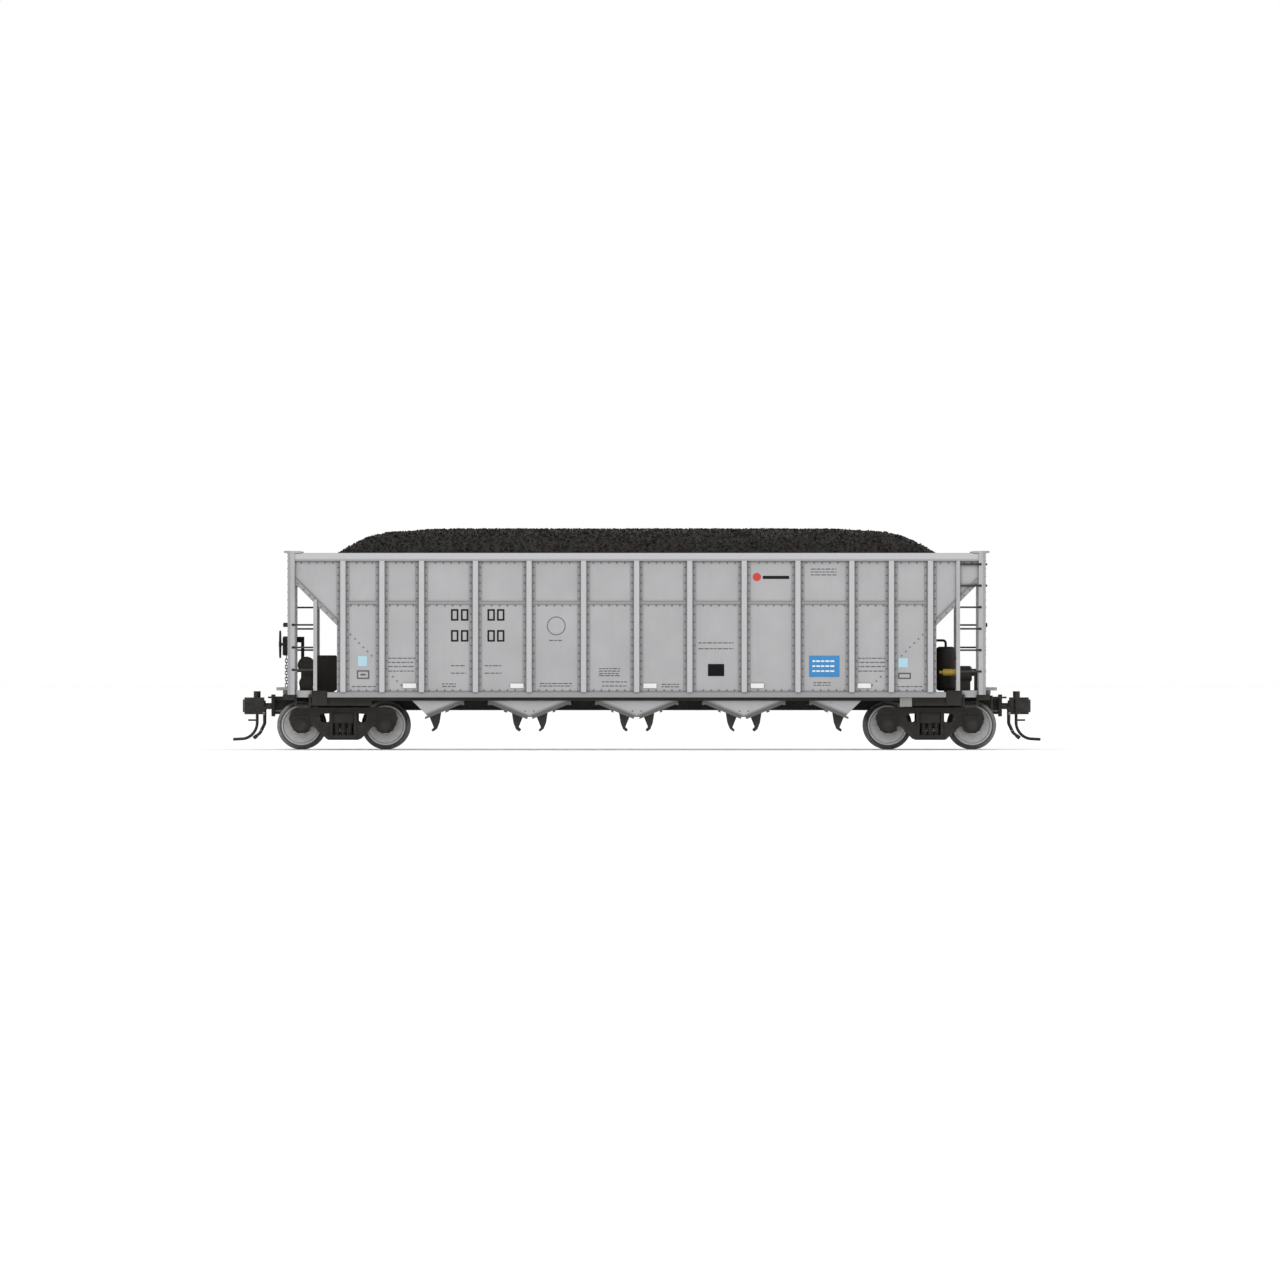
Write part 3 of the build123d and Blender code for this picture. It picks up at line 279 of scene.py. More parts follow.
class Surface:
    """A procedural material: short helpers that add nodes and return their outputs."""

    def __init__(self, name, roughness=0.5, metallic=0.0, shine=0.5):
        self.material = bpy.data.materials.new(name)
        self.material.use_nodes = True
        self.tree = self.material.node_tree
        self.shader = self.tree.nodes["Principled BSDF"]
        self.shader.inputs["Roughness"].default_value = roughness
        self.shader.inputs["Metallic"].default_value = metallic
        self.shader.inputs["Specular IOR Level"].default_value = shine
        coordinates = self.tree.nodes.new("ShaderNodeTexCoord")
        scale = self.tree.nodes.new("ShaderNodeVectorMath")
        scale.operation = "SCALE"
        scale.inputs["Scale"].default_value = 1 / MM
        self.link(coordinates.outputs["Object"], scale.inputs[0])
        self.place = scale.outputs[0]  # position in millimetres

    def link(self, source, target):
        self.tree.links.new(source, target)

    def noise(self, scale, detail, stretch=(1, 1, 1)):
        mapping = self.tree.nodes.new("ShaderNodeMapping")
        mapping.inputs["Scale"].default_value = stretch
        self.link(self.place, mapping.inputs["Vector"])
        texture = self.tree.nodes.new("ShaderNodeTexNoise")
        texture.inputs["Scale"].default_value = scale
        texture.inputs["Detail"].default_value = detail
        texture.inputs["Roughness"].default_value = 0.55
        self.link(mapping.outputs[0], texture.inputs["Vector"])
        return texture.outputs["Fac"]

    def cells(self, scale):
        texture = self.tree.nodes.new("ShaderNodeTexVoronoi")
        texture.inputs["Scale"].default_value = scale
        self.link(self.place, texture.inputs["Vector"])
        return texture.outputs

    def ramp(self, value, low, high, start=0.0, end=1.0):
        node = self.tree.nodes.new("ShaderNodeMapRange")
        node.inputs["From Min"].default_value = low
        node.inputs["From Max"].default_value = high
        node.inputs["To Min"].default_value = start
        node.inputs["To Max"].default_value = end
        self.link(value, node.inputs["Value"])
        return node.outputs[0]

    def math(self, operation, first, second=0):
        node = self.tree.nodes.new("ShaderNodeMath")
        node.operation = operation
        for socket, value in zip(node.inputs, (first, second)):
            if isinstance(value, (int, float)):
                socket.default_value = value
            else:
                self.link(value, socket)
        return node.outputs[0]

    def axis(self, name):
        node = self.tree.nodes.new("ShaderNodeSeparateXYZ")
        self.link(self.place, node.inputs[0])
        return node.outputs[name]

    def apart(self, value, middle):
        """How far a value is from a middle one."""
        return self.math("ABSOLUTE", self.math("SUBTRACT", value, middle))

    def distance(self, name, middle=0):
        """How far a point is from a middle value along one axis."""
        return self.apart(self.axis(name), middle)

    def normal(self, name):
        geometry = self.tree.nodes.new("ShaderNodeNewGeometry")
        node = self.tree.nodes.new("ShaderNodeSeparateXYZ")
        self.link(geometry.outputs["Normal"], node.inputs[0])
        return node.outputs[name]

    def mix(self, factor, first, second):
        node = self.tree.nodes.new("ShaderNodeMix")
        node.data_type = "RGBA"
        node.clamp_factor = True
        self.link(factor, node.inputs["Factor"])
        for socket, colour in ((node.inputs["A"], first), (node.inputs["B"], second)):
            if isinstance(colour, tuple):
                socket.default_value = (*colour, 1)
            else:
                self.link(colour, socket)
        return node.outputs["Result"]

    def colour(self, output):
        self.link(output, self.shader.inputs["Base Color"])

    def colour_so_far(self):
        """The output that now feeds the base colour."""
        return self.shader.inputs["Base Color"].links[0].from_socket

    def corners(self, reach):
        """Ambient occlusion, for painted shade: dark in tight corners, bright in the open."""
        node = self.tree.nodes.new("ShaderNodeAmbientOcclusion")
        node.samples = 6
        node.inputs["Distance"].default_value = reach * MM
        return node.outputs["AO"]

    def rough(self, output):
        self.link(output, self.shader.inputs["Roughness"])

    def bump(self, height, depth, strength):
        node = self.tree.nodes.new("ShaderNodeBump")
        node.inputs["Strength"].default_value = strength
        node.inputs["Distance"].default_value = depth * MM
        self.link(height, node.inputs["Height"])
        self.link(node.outputs[0], self.shader.inputs["Normal"])


def shade(colour, share):
    """A colour made lighter or darker."""
    return tuple(channel * share for channel in colour)


GREY = (0.44, 0.44, 0.45)
WARM_BLACK = (0.026, 0.023, 0.02)
DUST = (0.30, 0.27, 0.24)


def painted(name, colour, roughness, metallic=0.0, dust=0.25, streaks=0.25, shine=0.5):
    """Sprayed model paint: soft mottling, thin streaks, settled dust and a fine orange peel."""
    surface = Surface(name, roughness, metallic, shine)
    mottle = surface.ramp(surface.noise(0.11, 5), 0.35, 0.7)
    base = surface.mix(mottle, shade(colour, 0.95), shade(colour, 1.05))
    runs = surface.ramp(surface.noise(0.9, 3, (1, 1, 0.07)), 0.52, 0.78, 0, streaks)
    base = surface.mix(runs, base, shade(colour, 0.72))
    speck = surface.ramp(surface.noise(3.2, 2), 0.62, 0.74, 0, 0.3)
    base = surface.mix(speck, base, shade(colour, 0.82))
    low = surface.ramp(surface.axis("Z"), 17.0, 6.0, 0, dust)
    patchy = surface.math("MULTIPLY", low, surface.ramp(surface.noise(0.5, 4), 0.35, 0.65))
    surface.colour(surface.mix(patchy, base, DUST))
    surface.rough(surface.ramp(surface.noise(0.8, 4), 0.3, 0.7, roughness - 0.06, roughness + 0.1))
    surface.bump(surface.noise(6.0, 3), 0.02, 0.35)
    return surface


def paint_corner_shade(surface, strength=0.75, reach=0.7):
    """Paints shade into the corners beside posts, rivets and seams."""
    unshaded = surface.colour_so_far()
    # painted shade: the colour darkens where the corners close in
    corner_shade = surface.ramp(surface.corners(reach), 0.45, 0.95, strength, 0)
    surface.colour(surface.mix(corner_shade, unshaded, shade(WARM_BLACK, 2.0)))
    return surface.material


def body_grey(name):
    return painted(name, shade(GREY, 0.98), 0.46, metallic=0.12, dust=0.12, streaks=0.12)


def body_paint():
    # the body paint, with painted shade in its corners
    return paint_corner_shade(body_grey("silver_grey_paint"))


def rivet_paint():
    """Darker than the sheets: painted shade for the shade round small heads seen from a distance."""
    # painted shade: the rivet heads' grey is darkened
    return painted("rivet_shaded_paint", shade(GREY, 0.34), 0.5, metallic=0.1, dust=0.1, streaks=0.1).material


def side_paint():
    """The side sheets' paint: painted highlight on the post crowns and top chord, painted shade on the post
    feet, flanks and lap seam, and a painted shadow band under the chord.
    """
    surface = body_grey("side_paint")
    sheet = surface.colour_so_far()
    out = surface.distance("Y")
    # painted shade on what stands proud of the sheet: post feet, flanks and lap seam
    raised_shade = surface.ramp(out, SHEET_OUT + 0.03, SHEET_OUT + 0.09, 0, 0.8)
    # painted highlight on the post crowns and top chord
    crown_highlight = surface.ramp(out, POST_OUT - 0.1, POST_OUT - 0.02)
    # painted shadow band just under the chord
    chord_shadow = surface.ramp(surface.distance("Z", CHORD_BOTTOM + 0.2), 0.3, 0.2, 0, 0.7)
    tone = surface.mix(raised_shade, sheet, shade(GREY, 0.66))
    tone = surface.mix(crown_highlight, tone, shade(GREY, 1.16))
    surface.colour(surface.mix(chord_shadow, tone, shade(GREY, 0.66)))
    return paint_corner_shade(surface)


def bay_plate_paint():
    """Bright bay plates with painted shade along the edges by the doors."""
    surface = painted("bay_plate_paint", shade(GREY, 1.08), 0.46, metallic=0.12, dust=0.05, streaks=0.1)
    plate = surface.colour_so_far()
    off_middle = surface.math("PINGPONG", surface.axis("X"), BAY_PITCH / 2)
    run = surface.math("MULTIPLY", surface.math("SUBTRACT", off_middle, BAY_APEX_HALF), BAY_SLOPE)
    above = surface.math("SUBTRACT", surface.math("SUBTRACT", surface.axis("Z"), BAY_APEX_Z), run)
    # painted shade: darker towards the sloping edges by the doors
    surface.colour(surface.mix(surface.ramp(above, 1.0, 0.15, 0, 0.85), plate, shade(WARM_BLACK, 2.4)))
    return surface.material


def black_paint():
    return painted("warm_black_paint", WARM_BLACK, 0.55, dust=0.04, shine=0.22).material


def ladder_paint():
    """Grey stiles with black rungs."""
    surface = painted("ladder_paint", GREY, 0.46, metallic=0.12, dust=0.1)
    grey = surface.colour_so_far()
    off_stile = surface.apart(surface.distance("X"), STILE_X)
    rung = surface.math("GREATER_THAN", off_stile, STILE_HALF)
    surface.colour(surface.mix(rung, grey, shade(WARM_BLACK, 1.3)))
    return surface.material


def end_paint():
    """Grey end posts and bands with painted shade on the outer side faces of the posts, and black straps
    beside the middle strip.
    """
    surface = painted("end_paint", GREY, 0.46, metallic=0.12, dust=0.1, streaks=0.12)
    grey = surface.colour_so_far()
    across = surface.distance("Y")
    beyond_strip = surface.math("GREATER_THAN", across, STRAP_NEAR)
    strap = surface.math("MULTIPLY", beyond_strip, surface.math("LESS_THAN", across, STRAP_FAR))
    off_middle = surface.distance("Z", STRAP_MIDDLE_Z)
    strap = surface.math("MULTIPLY", strap, surface.math("LESS_THAN", off_middle, STRAP_HALF))
    # painted shade on the side faces of the posts' outer part
    edge = surface.ramp(surface.distance("X"), END_IN + 0.95, END_IN + 1.05, 0, 0.75)
    edge = surface.math("MULTIPLY", edge, surface.math("ABSOLUTE", surface.normal("Y")))
    grey = surface.mix(edge, grey, shade(GREY, 0.68))
    surface.colour(surface.mix(strap, grey, WARM_BLACK))
    return surface.material


def slope_paint():
    """Grey on the loaded upper face, black on the underside."""
    surface = Surface("slope_sheet_paint", 0.52, shine=0.25)
    under = surface.ramp(surface.normal("Z"), 0.6, 0.4)
    wear = surface.ramp(surface.noise(0.35, 5, (1, 1, 0.5)), 0.4, 0.7, 0, 0.5)
    upper = surface.mix(wear, GREY, shade(GREY, 0.45))
    lower = surface.mix(surface.ramp(surface.noise(0.5, 4), 0.3, 0.7), WARM_BLACK, shade(WARM_BLACK, 1.6))
    surface.colour(surface.mix(under, upper, lower))
    surface.bump(surface.noise(5.0, 3), 0.02, 0.35)
    return surface.material


def door_paint():
    """Grey doors with painted shade on their side faces, and black hooks."""
    surface = painted("door_paint", shade(GREY, 0.9), 0.5, metallic=0.1, dust=0.2)
    grey = surface.colour_so_far()
    band = surface.math("LESS_THAN", surface.apart(surface.distance("Y"), HOOK_Y), HOOK_HALF)
    low = surface.math("LESS_THAN", surface.axis("Z"), HOOK_TOP)
    hook = surface.math("MULTIPLY", band, low)
    # painted shade on the door faces turned across the car
    edge = surface.math("ABSOLUTE", surface.normal("Y"))
    grey = surface.mix(surface.ramp(edge, 0.5, 0.8, 0, 0.8), grey, shade(WARM_BLACK, 3.0))
    surface.colour(surface.mix(hook, grey, WARM_BLACK))
    return surface.material


def plate_paint(name, colour, roughness=0.4, shine=0.5):
    """A small decal or plate, slightly worn."""
    surface = Surface(name, roughness, shine=shine)
    wear = surface.ramp(surface.noise(1.6, 5), 0.6, 0.8, 0, 0.35)
    tone = surface.mix(surface.ramp(surface.noise(0.6, 3), 0.3, 0.7), shade(colour, 0.92), colour)
    surface.colour(surface.mix(wear, tone, shade(colour, 0.7)))
    surface.bump(surface.noise(8.0, 2), 0.01, 0.2)
    return surface.material


def wheel_metal():
    """Bright wheel faces, a dark line round the rim and a grey tread and flange."""
    surface = Surface("wheel_metal", 0.42, 0.35)
    from_truck = surface.apart(surface.distance("X"), TRUCK_X)
    along = surface.math("SUBTRACT", from_truck, HALF_WHEELBASE)
    height = surface.math("SUBTRACT", surface.axis("Z"), AXLE_Z)
    along_squared = surface.math("MULTIPLY", along, along)
    height_squared = surface.math("MULTIPLY", height, height)
    radius = surface.math("SQRT", surface.math("ADD", along_squared, height_squared))
    grain = surface.ramp(surface.noise(1.4, 6), 0.35, 0.65)
    face = surface.mix(grain, (0.46, 0.46, 0.465), (0.55, 0.55, 0.555))
    flange = surface.mix(grain, (0.15, 0.15, 0.153), (0.21, 0.21, 0.214))
    tone = surface.mix(surface.ramp(radius, RIM_R - 0.05, RIM_R + 0.05), face, flange)
    line = surface.ramp(surface.apart(radius, RIM_R), 0.26, 0.18, 0, 0.9)
    surface.colour(surface.mix(line, tone, (0.035, 0.035, 0.036)))
    surface.rough(surface.ramp(surface.noise(2.5, 4), 0.3, 0.7, 0.34, 0.52))
    surface.bump(surface.noise(9.0, 2), 0.01, 0.25)
    return surface.material


def steel():
    surface = Surface("bright_steel", 0.32, 0.9)
    grain = surface.ramp(surface.noise(2.0, 5), 0.3, 0.7)
    surface.colour(surface.mix(grain, (0.38, 0.37, 0.36), (0.5, 0.49, 0.47)))
    surface.rough(surface.ramp(surface.noise(4.0, 4), 0.3, 0.7, 0.25, 0.42))
    surface.bump(surface.noise(10.0, 2, (1, 1, 0.2)), 0.008, 0.3)
    return surface.material


def coupler_metal():
    """Blackened die-cast metal."""
    surface = Surface("coupler_metal", 0.45, 0.2, 0.3)
    mottle = surface.ramp(surface.noise(1.2, 5), 0.35, 0.7)
    surface.colour(surface.mix(mottle, (0.022, 0.02, 0.018), (0.045, 0.04, 0.035)))
    surface.rough(surface.ramp(surface.noise(3.0, 4), 0.3, 0.7, 0.36, 0.58))
    surface.bump(surface.noise(5.0, 4), 0.03, 0.4)
    return surface.material


def hose_rubber():
    surface = Surface("hose_rubber", 0.6, shine=0.25)
    mottle = surface.ramp(surface.noise(1.5, 4), 0.3, 0.7)
    surface.colour(surface.mix(mottle, (0.018, 0.017, 0.016), (0.035, 0.033, 0.03)))
    surface.bump(surface.noise(7.0, 3), 0.02, 0.4)
    return surface.material


def coal_surface():
    """Broken coal: near black, with duller and glossier faces."""
    surface = Surface("coal", shine=0.14)
    cells = surface.cells(1.3)
    tone = surface.ramp(cells["Color"], 0.0, 1.0)
    dark = surface.mix(tone, (0.010, 0.009, 0.0076), (0.023, 0.0198, 0.0168))
    dust = surface.ramp(surface.noise(0.5, 5), 0.5, 0.75, 0, 0.3)
    surface.colour(surface.mix(dust, dark, (0.03, 0.026, 0.022)))
    surface.rough(surface.ramp(cells["Color"], 0.0, 1.0, 0.4, 0.8))
    surface.bump(cells["Distance"], 0.25, 0.8)
    return surface.material


PAINT = body_paint()
RIVET = rivet_paint()
BLACK = black_paint()
SLOPE = slope_paint()
DOOR = door_paint()
WHEEL = wheel_metal()
STEEL = steel()
COUPLER = coupler_metal()
RUBBER = hose_rubber()
COAL = coal_surface()
YELLOW = plate_paint("yellow_sleeve", (0.55, 0.38, 0.05), 0.45)
WHITE = plate_paint("white_reflector", (0.86, 0.86, 0.85), 0.3)
BLUE = plate_paint("blue_plate", (0.035, 0.25, 0.56))
PALE_BLUE = plate_paint("pale_blue_plate", (0.45, 0.68, 0.78))
PLATE_BLACK = plate_paint("black_plate", (0.008, 0.008, 0.008), 0.6, 0.1)
PALE_STENCIL = plate_paint("pale_stencil", (0.42, 0.40, 0.38), 0.6, 0.2)
RED = plate_paint("red_mark", (0.62, 0.04, 0.03))
STENCIL = plate_paint("stencil_grey", (0.10, 0.10, 0.10), 0.6)
LETTER = plate_paint("mark_black", (0.012, 0.012, 0.012), 0.6, 0.15)
SIDE = side_paint()
BAY_PLATE = bay_plate_paint()
LADDER = ladder_paint()
END = end_paint()
TAG = plate_paint("tag_grey", (0.30, 0.29, 0.28), 0.5)


def material_of(node):
    """The finish of a CAD node, by the start of its name."""
    finishes = (
        (("slope_sheet",), SLOPE),
        (("bay_doors",), DOOR),
        (("wheels",), WHEEL),
        (("axle", "lid_screws", "kingpin_screws"), STEEL),
        (("coupler", "knuckle", "trip_pin", "centring_spring"), COUPLER),
        (("air_hoses",), RUBBER),
        (("slack_adjuster",), YELLOW),
        (("coal_load",), COAL),
        (("tag_plates",), TAG),
        (("side_panel",), SIDE),
        (("bay_side_plates",), BAY_PLATE),
        (("ladders",), LADDER),
        (("end_frame",), END),
        (("floor_hoods", "cross_ties", "end_decks", "crossover_platform"), PAINT),
    )
    for beginnings, material in finishes:
        if node.startswith(beginnings):
            return material
    return BLACK


for label, node in frame["nodes"].items():
    node.data.materials.clear()
    node.data.materials.append(material_of(label))


# ---------------------------------------------------------------- rivets

RIVET_R, RIVET_RISE = 0.21, 0.13
RIVET_PITCH = 1.9
POST_RIVET_OFFSET = 1.13
BAY_RIVET_OFFSET, BAY_RIVET_Z, BAY_RIVET_OUT = 1.05, 9.35, 16.1
CORNER_CLEAR = 1.6  # how far a row of rivets stops short of a corner
ROW_INSET = 0.5  # how far a row lies from the chord or the sill beside it
SLOPE_EDGE_FIRST, SLOPE_EDGE_PITCH = 73.3, 1.35
SLOPE_SEAM_FIRST, SLOPE_SEAM_LAST, SLOPE_SEAM_PITCH = 56.8, 69.0, 1.0
END_CHORD_ROW, END_SHEET_ROW, END_SHEET_ROW_Z = 15.6, 15.2, 42.4


def between(low, high, pitch=RIVET_PITCH):
    """Evenly spaced places from one limit to the other."""
    count = max(1, round((high - low) / pitch))
    return [low + (high - low) * step / count for step in range(count + 1)]


def clear_of_posts(x, margin=1.75):
    return all(abs(x - post) > margin for post in ALL_POSTS)


def side_rivets(side):
    """Rivets of one side: along the posts, chord, sill, lap seam, slope sheets and bay plates."""
    shape = Shape()

    def put(x, z, out):
        add_dome(shape, (x * -side, side * out, z), (0, side, 0), RIVET_R, RIVET_RISE)

    for post in ALL_POSTS:
        for offset in (-POST_RIVET_OFFSET, POST_RIVET_OFFSET):
            for z in between(SILL_TOP + RIVET_PITCH, CHORD_BOTTOM - CORNER_CLEAR):
                put(post + offset, z, FOOT_OUT)
    for x in between(-END_IN + CORNER_CLEAR, END_IN - CORNER_CLEAR):
        if clear_of_posts(x):
            put(x, CHORD_BOTTOM - ROW_INSET, SHEET_OUT)
    for x in between(-TRUCK_X, TRUCK_X):
        if clear_of_posts(x):
            put(x, SILL_TOP + ROW_INSET, SHEET_OUT)
            put(x, LAP_Z - 0.42, SHEET_OUT)
    for end in (-1, 1):
        for x in between(SLOPE_EDGE_FIRST, END_IN - 0.8, SLOPE_EDGE_PITCH):
            put(end * x, x - SLOPE_OFFSET + 0.7, SHEET_OUT + 0.4)
        for x in between(SLOPE_SEAM_FIRST, SLOPE_SEAM_LAST, SLOPE_SEAM_PITCH):
            if clear_of_posts(x):
                put(end * x, x - SLOPE_OFFSET + 1.1, SHEET_OUT)
    for step in (-1, 0, 1):
        for offset in (-BAY_RIVET_OFFSET, BAY_RIVET_OFFSET):
            put(step * BAY_PITCH + offset, BAY_RIVET_Z, BAY_RIVET_OUT)
    return shape


for hand, side in SIDES:
    side_rivets(side).piece(f"side_rivets_{hand}", RIVET, "car_body", "body_grey")


def end_rivets(end):
    """Rivets of one end: rows on the chord and the end sheet, and columns up the corner posts."""
    shape = Shape()

    def put(x, y, z):
        add_dome(shape, (end * x, y * end, z), (end, 0, 0), RIVET_R * 0.9, RIVET_RISE)

    for y in between(-END_CHORD_ROW, END_CHORD_ROW):
        put(END_OUT, y, CHORD_TOP - 0.9)
    for side in (-1, 1):
        for z in between(SILL_TOP + 1.5, CHORD_BOTTOM):
            put(END_OUT, side * CORNER_RIVET_Y, z)
    for y in between(-END_SHEET_ROW, END_SHEET_ROW):
        if min(abs(abs(y) - post) for post in (MIDDLE_POST_Y, END_POST_Y)) > 0.7:
            put(END_IN + 0.7, y, END_SHEET_ROW_Z)
    return shape


for letter, end in ENDS:
    end_rivets(end).piece(f"end_rivets_{letter}", RIVET, "car_body", "body_grey")


# ---------------------------------------------------------------- end details

def end_strip_clips(letter, end):
    """Black clips and a bolt that hold the middle strip of an end."""
    shape = Shape()
    clips = ((0.32, 0.28, 40.5, 43.6), (0.2, 0.95, 41.3, 41.95), (0.25, 0.85, 30.6, 31.2))
    for rise, wide, low_z, high_z in clips:
        add_corner_box(shape, end, 1, (END_OUT - SUNK, -wide, low_z), (END_OUT + rise, wide, high_z))
    add_dome(shape, (end * (END_OUT + 0.3), 0, 42.6), (end, 0, 0), 0.2, 0.14, 12)
    shape.piece(f"strip_clips_{letter}", BLACK, "car_body", "frame_black")


for letter, end in ENDS:
    end_strip_clips(letter, end)


def end_placard():
    """A blank round-topped plate on a strap between the A-end middle posts."""
    strap, plate = Shape(), Shape()
    back, front = END_OUT - 0.75, END_OUT - 0.42
    add_box(strap, (back, -2.5, 20.6), (END_OUT - 0.4, 2.5, 21.3))
    add_box(strap, (back, -0.7, 20.0), (front, 0.1, 22.4))
    half, foot, shoulder, crown = 1.25, -1.5, 0.5, 1.05
    outline = [(-half, foot), (half, foot), (half, shoulder)]
    for degrees in range(15, 180, 15):
        angle = math.radians(degrees)
        outline.append((half * math.cos(angle), shoulder + crown * math.sin(angle)))
    outline.append((-half, shoulder))
    turn = Matrix(((0, 0, 1), (1, 0, 0), (0, 1, 0)))
    add_prism(plate, outline, turn, (front, -0.35, 21.3), 0.16, 0.03)
    strap.piece("end_placard_strap", BLACK, "car_body", "frame_black")
    plate.piece("end_placard", WHITE, "car_body", "plate_white")


end_placard()


# ---------------------------------------------------------------- plates and stencil lines on the sides

def side_turn(side):
    """Turns a plate's outline (across, up) to face outwards on one side."""
    return Matrix(((-side, 0, 0), (0, 0, side), (0, 1, 0)))


def add_plate(shape, side, centre, size, out, thickness=0.09, corner=0.12):
    """A thin plate on one side; centre is (x, z) as seen on the side at -Y."""
    turn = side_turn(side)
    place = (centre[0] * -side, side * (out - 0.02), centre[1])
    add_prism(shape, rounded_outline(*size, corner), turn, place, thickness + 0.02, 0.02)


REFLECTORS = (-54.8, -28.9, 3.2, 29.1, 54.9)
BLOCK_XS, BLOCK_ZS, BLOCK_SIZE = (-43.9, -41.5, -35.1, -32.8), (32.55, 27.5), (1.8, 2.8)
RING_X, RING_Z, RING_R = -19.4, 29.9, 2.15
# plain stencil lines: (first x, last x, heights)
STENCIL_LINES = (
    (-60.0, -53.0, (22.1, 21.1, 20.1, 19.0)),
    (-44.8, -41.1, (20.3, 18.5)),
    (-36.7, -32.6, (20.3, 18.5)),
    (-47.0, -43.6, (15.9, 15.3)),
    (-23.4, -15.6, (16.0, 15.4)),
    (-9.1, -4.0, (19.6, 19.0, 18.4, 17.9)),
    (-8.4, -2.3, (16.4, 15.4)),
    (-21.1, -17.6, (26.4,)),
    (14.9, 23.4, (25.8, 24.4)),
    (6.0, 10.3, (15.8, 15.2)),
    (42.6, 46.8, (16.2, 15.6)),
    (42.0, 48.2, (43.6, 42.9, 42.2)),
    (53.2, 60.0, (22.1, 21.1, 20.1, 19.0)),
    (-68.7, -63.0, (15.25,)),
    (62.7, 68.9, (15.25,)),
)


def dashes(first, last, chance):
    """A stencil line broken into short strokes."""
    x = first
    shortest, gap = 0.2, 0.22
    while x < last - shortest:
        length = chance.uniform(0.5, 1.3)
        yield x, min(x + length, last)
        x += length + gap


def add_stencils(shape, side):
    """The broken lines and the plain ring of one side."""
    chance = random.Random(11)
    for first, last, heights in STENCIL_LINES:
        for z in heights:
            for start, stop in dashes(first, last, chance):
                middle = (start + stop) / 2
                if clear_of_posts(middle, 1.5):
                    add_plate(shape, side, (middle, z), (stop - start, 0.22), SHEET_OUT, 0.025, 0.05)
    turns = [math.tau * step / 40 for step in range(40)]
    ring = [((RING_X + RING_R * math.cos(turn)) * -side, side * SHEET_OUT, RING_Z + RING_R * math.sin(turn))
            for turn in turns]
    add_tube(shape, ring, 0.08, 6, closed=True)


def add_hollow(shape, side, centre, size, stroke=0.42):
    """A plain hollow block, in place of a painted letter."""
    for reach in (-1, 1):
        add_plate(shape, side, (centre[0] + reach * (size[0] - stroke) / 2, centre[1]), (stroke, size[1]),
                  SHEET_OUT, 0.03, 0.1)
        add_plate(shape, side, (centre[0], centre[1] + reach * (size[1] - stroke) / 2),
                  (size[0] - 2 * stroke + 0.04, stroke), SHEET_OUT, 0.03, 0.02)


def add_badge(shape, side, centre, radius):
    """A thin round spot on one side."""
    turns = [math.tau * step / 20 for step in range(20)]
    outline = [(radius * math.cos(turn), radius * math.sin(turn)) for turn in turns]
    place = (centre[0] * -side, side * (SHEET_OUT - 0.02), centre[1])
    add_prism(shape, outline, side_turn(side), place, 0.06, 0.02)


def letter_marks(hand, side):
    """Hollow blocks, a round spot with a bar, and the lines on the blue plate."""
    letters, badge, lines = Shape(), Shape(), Shape()
    for x in BLOCK_XS:
        for z in BLOCK_ZS:
            add_hollow(letters, side, (x, z), BLOCK_SIZE)
    add_plate(letters, side, (33.6, 41.6), (6.4, 0.75), SHEET_OUT, 0.03, 0.2)
    add_badge(badge, side, (29.0, 41.7), 1.0)
    for z in (21.4, 20.2, 19.0):
        for start, stop in dashes(42.4, 48.0, random.Random(3)):
            add_plate(lines, side, ((start + stop) / 2, z), (stop - start, 0.4), SHEET_OUT + 0.05, 0.03, 0.05)
    letters.piece(f"plain_marks_{hand}", LETTER, "car_body", "frame_black")
    badge.piece(f"round_badge_{hand}", RED, "car_body", "plate_white")
    lines.piece(f"blue_plate_lines_{hand}", WHITE, "car_body", "plate_white")


def side_plates(hand, side):
    """Reflectors, coloured plates, stencil lines and the outlines under the pale plates."""
    white, blue, pale, black, marks = Shape(), Shape(), Shape(), Shape(), Shape()
    for x in REFLECTORS:
        add_plate(white, side, (x, 15.45), (3.2, 1.16), FOOT_OUT)
    add_plate(blue, side, (45.25, 20.15), (7.3, 5.1), SHEET_OUT, 0.06, 0.2)
    add_plate(pale, side, (-66.15, 21.4), (2.3, 2.5), SHEET_OUT, 0.06, 0.15)
    add_plate(pale, side, (64.3, 21.0), (2.3, 2.3), SHEET_OUT, 0.06, 0.15)
    add_plate(black, side, (19.15, 19.25), (3.9, 2.9), SHEET_OUT, 0.06, 0.15)
    add_stencils(marks, side)
    add_hollow(marks, side, (-66.0, 18.15), (3.0, 2.1), 0.32)
    add_plate(marks, side, (-66.0, 18.15), (1.3, 0.4), SHEET_OUT, 0.03, 0.1)
    add_hollow(marks, side, (64.6, 17.85), (3.1, 1.5), 0.32)
    white.piece(f"reflectors_{hand}", WHITE, "car_body", "plate_white")
    blue.piece(f"blue_plate_{hand}", BLUE, "car_body", "plate_blue")
    pale.piece(f"pale_plates_{hand}", PALE_BLUE, "car_body", "plate_blue")
    black.piece(f"black_plate_{hand}", PLATE_BLACK, "car_body", "frame_black")
    marks.piece(f"stencil_lines_{hand}", STENCIL, "car_body", "frame_black")


for hand, side in SIDES:
    letter_marks(hand, side)
for hand, side in SIDES:
    side_plates(hand, side)


# ---------------------------------------------------------------- rung and rail fixings, end marks

END_BLOCK_HEIGHTS, END_BLOCK_YS = (45.0, 43.6), (6.9, 8.1, 9.3, 10.5)
# the four bars of a hollow block, by their low and high corners (across, up)
END_BLOCK_BARS = (((-0.42, -0.5), (-0.24, 0.5)), ((0.24, -0.5), (0.42, 0.5)),
                  ((-0.26, -0.5), (0.26, -0.32)), ((-0.26, 0.32), (0.26, 0.5)))
# pale lines under a slope sheet: (height, first y, last y)
SLOPE_LINES = ((39.4, 5.3, 9.4), (38.4, 5.8, 8.9), (37.4, 3.9, 10.9))


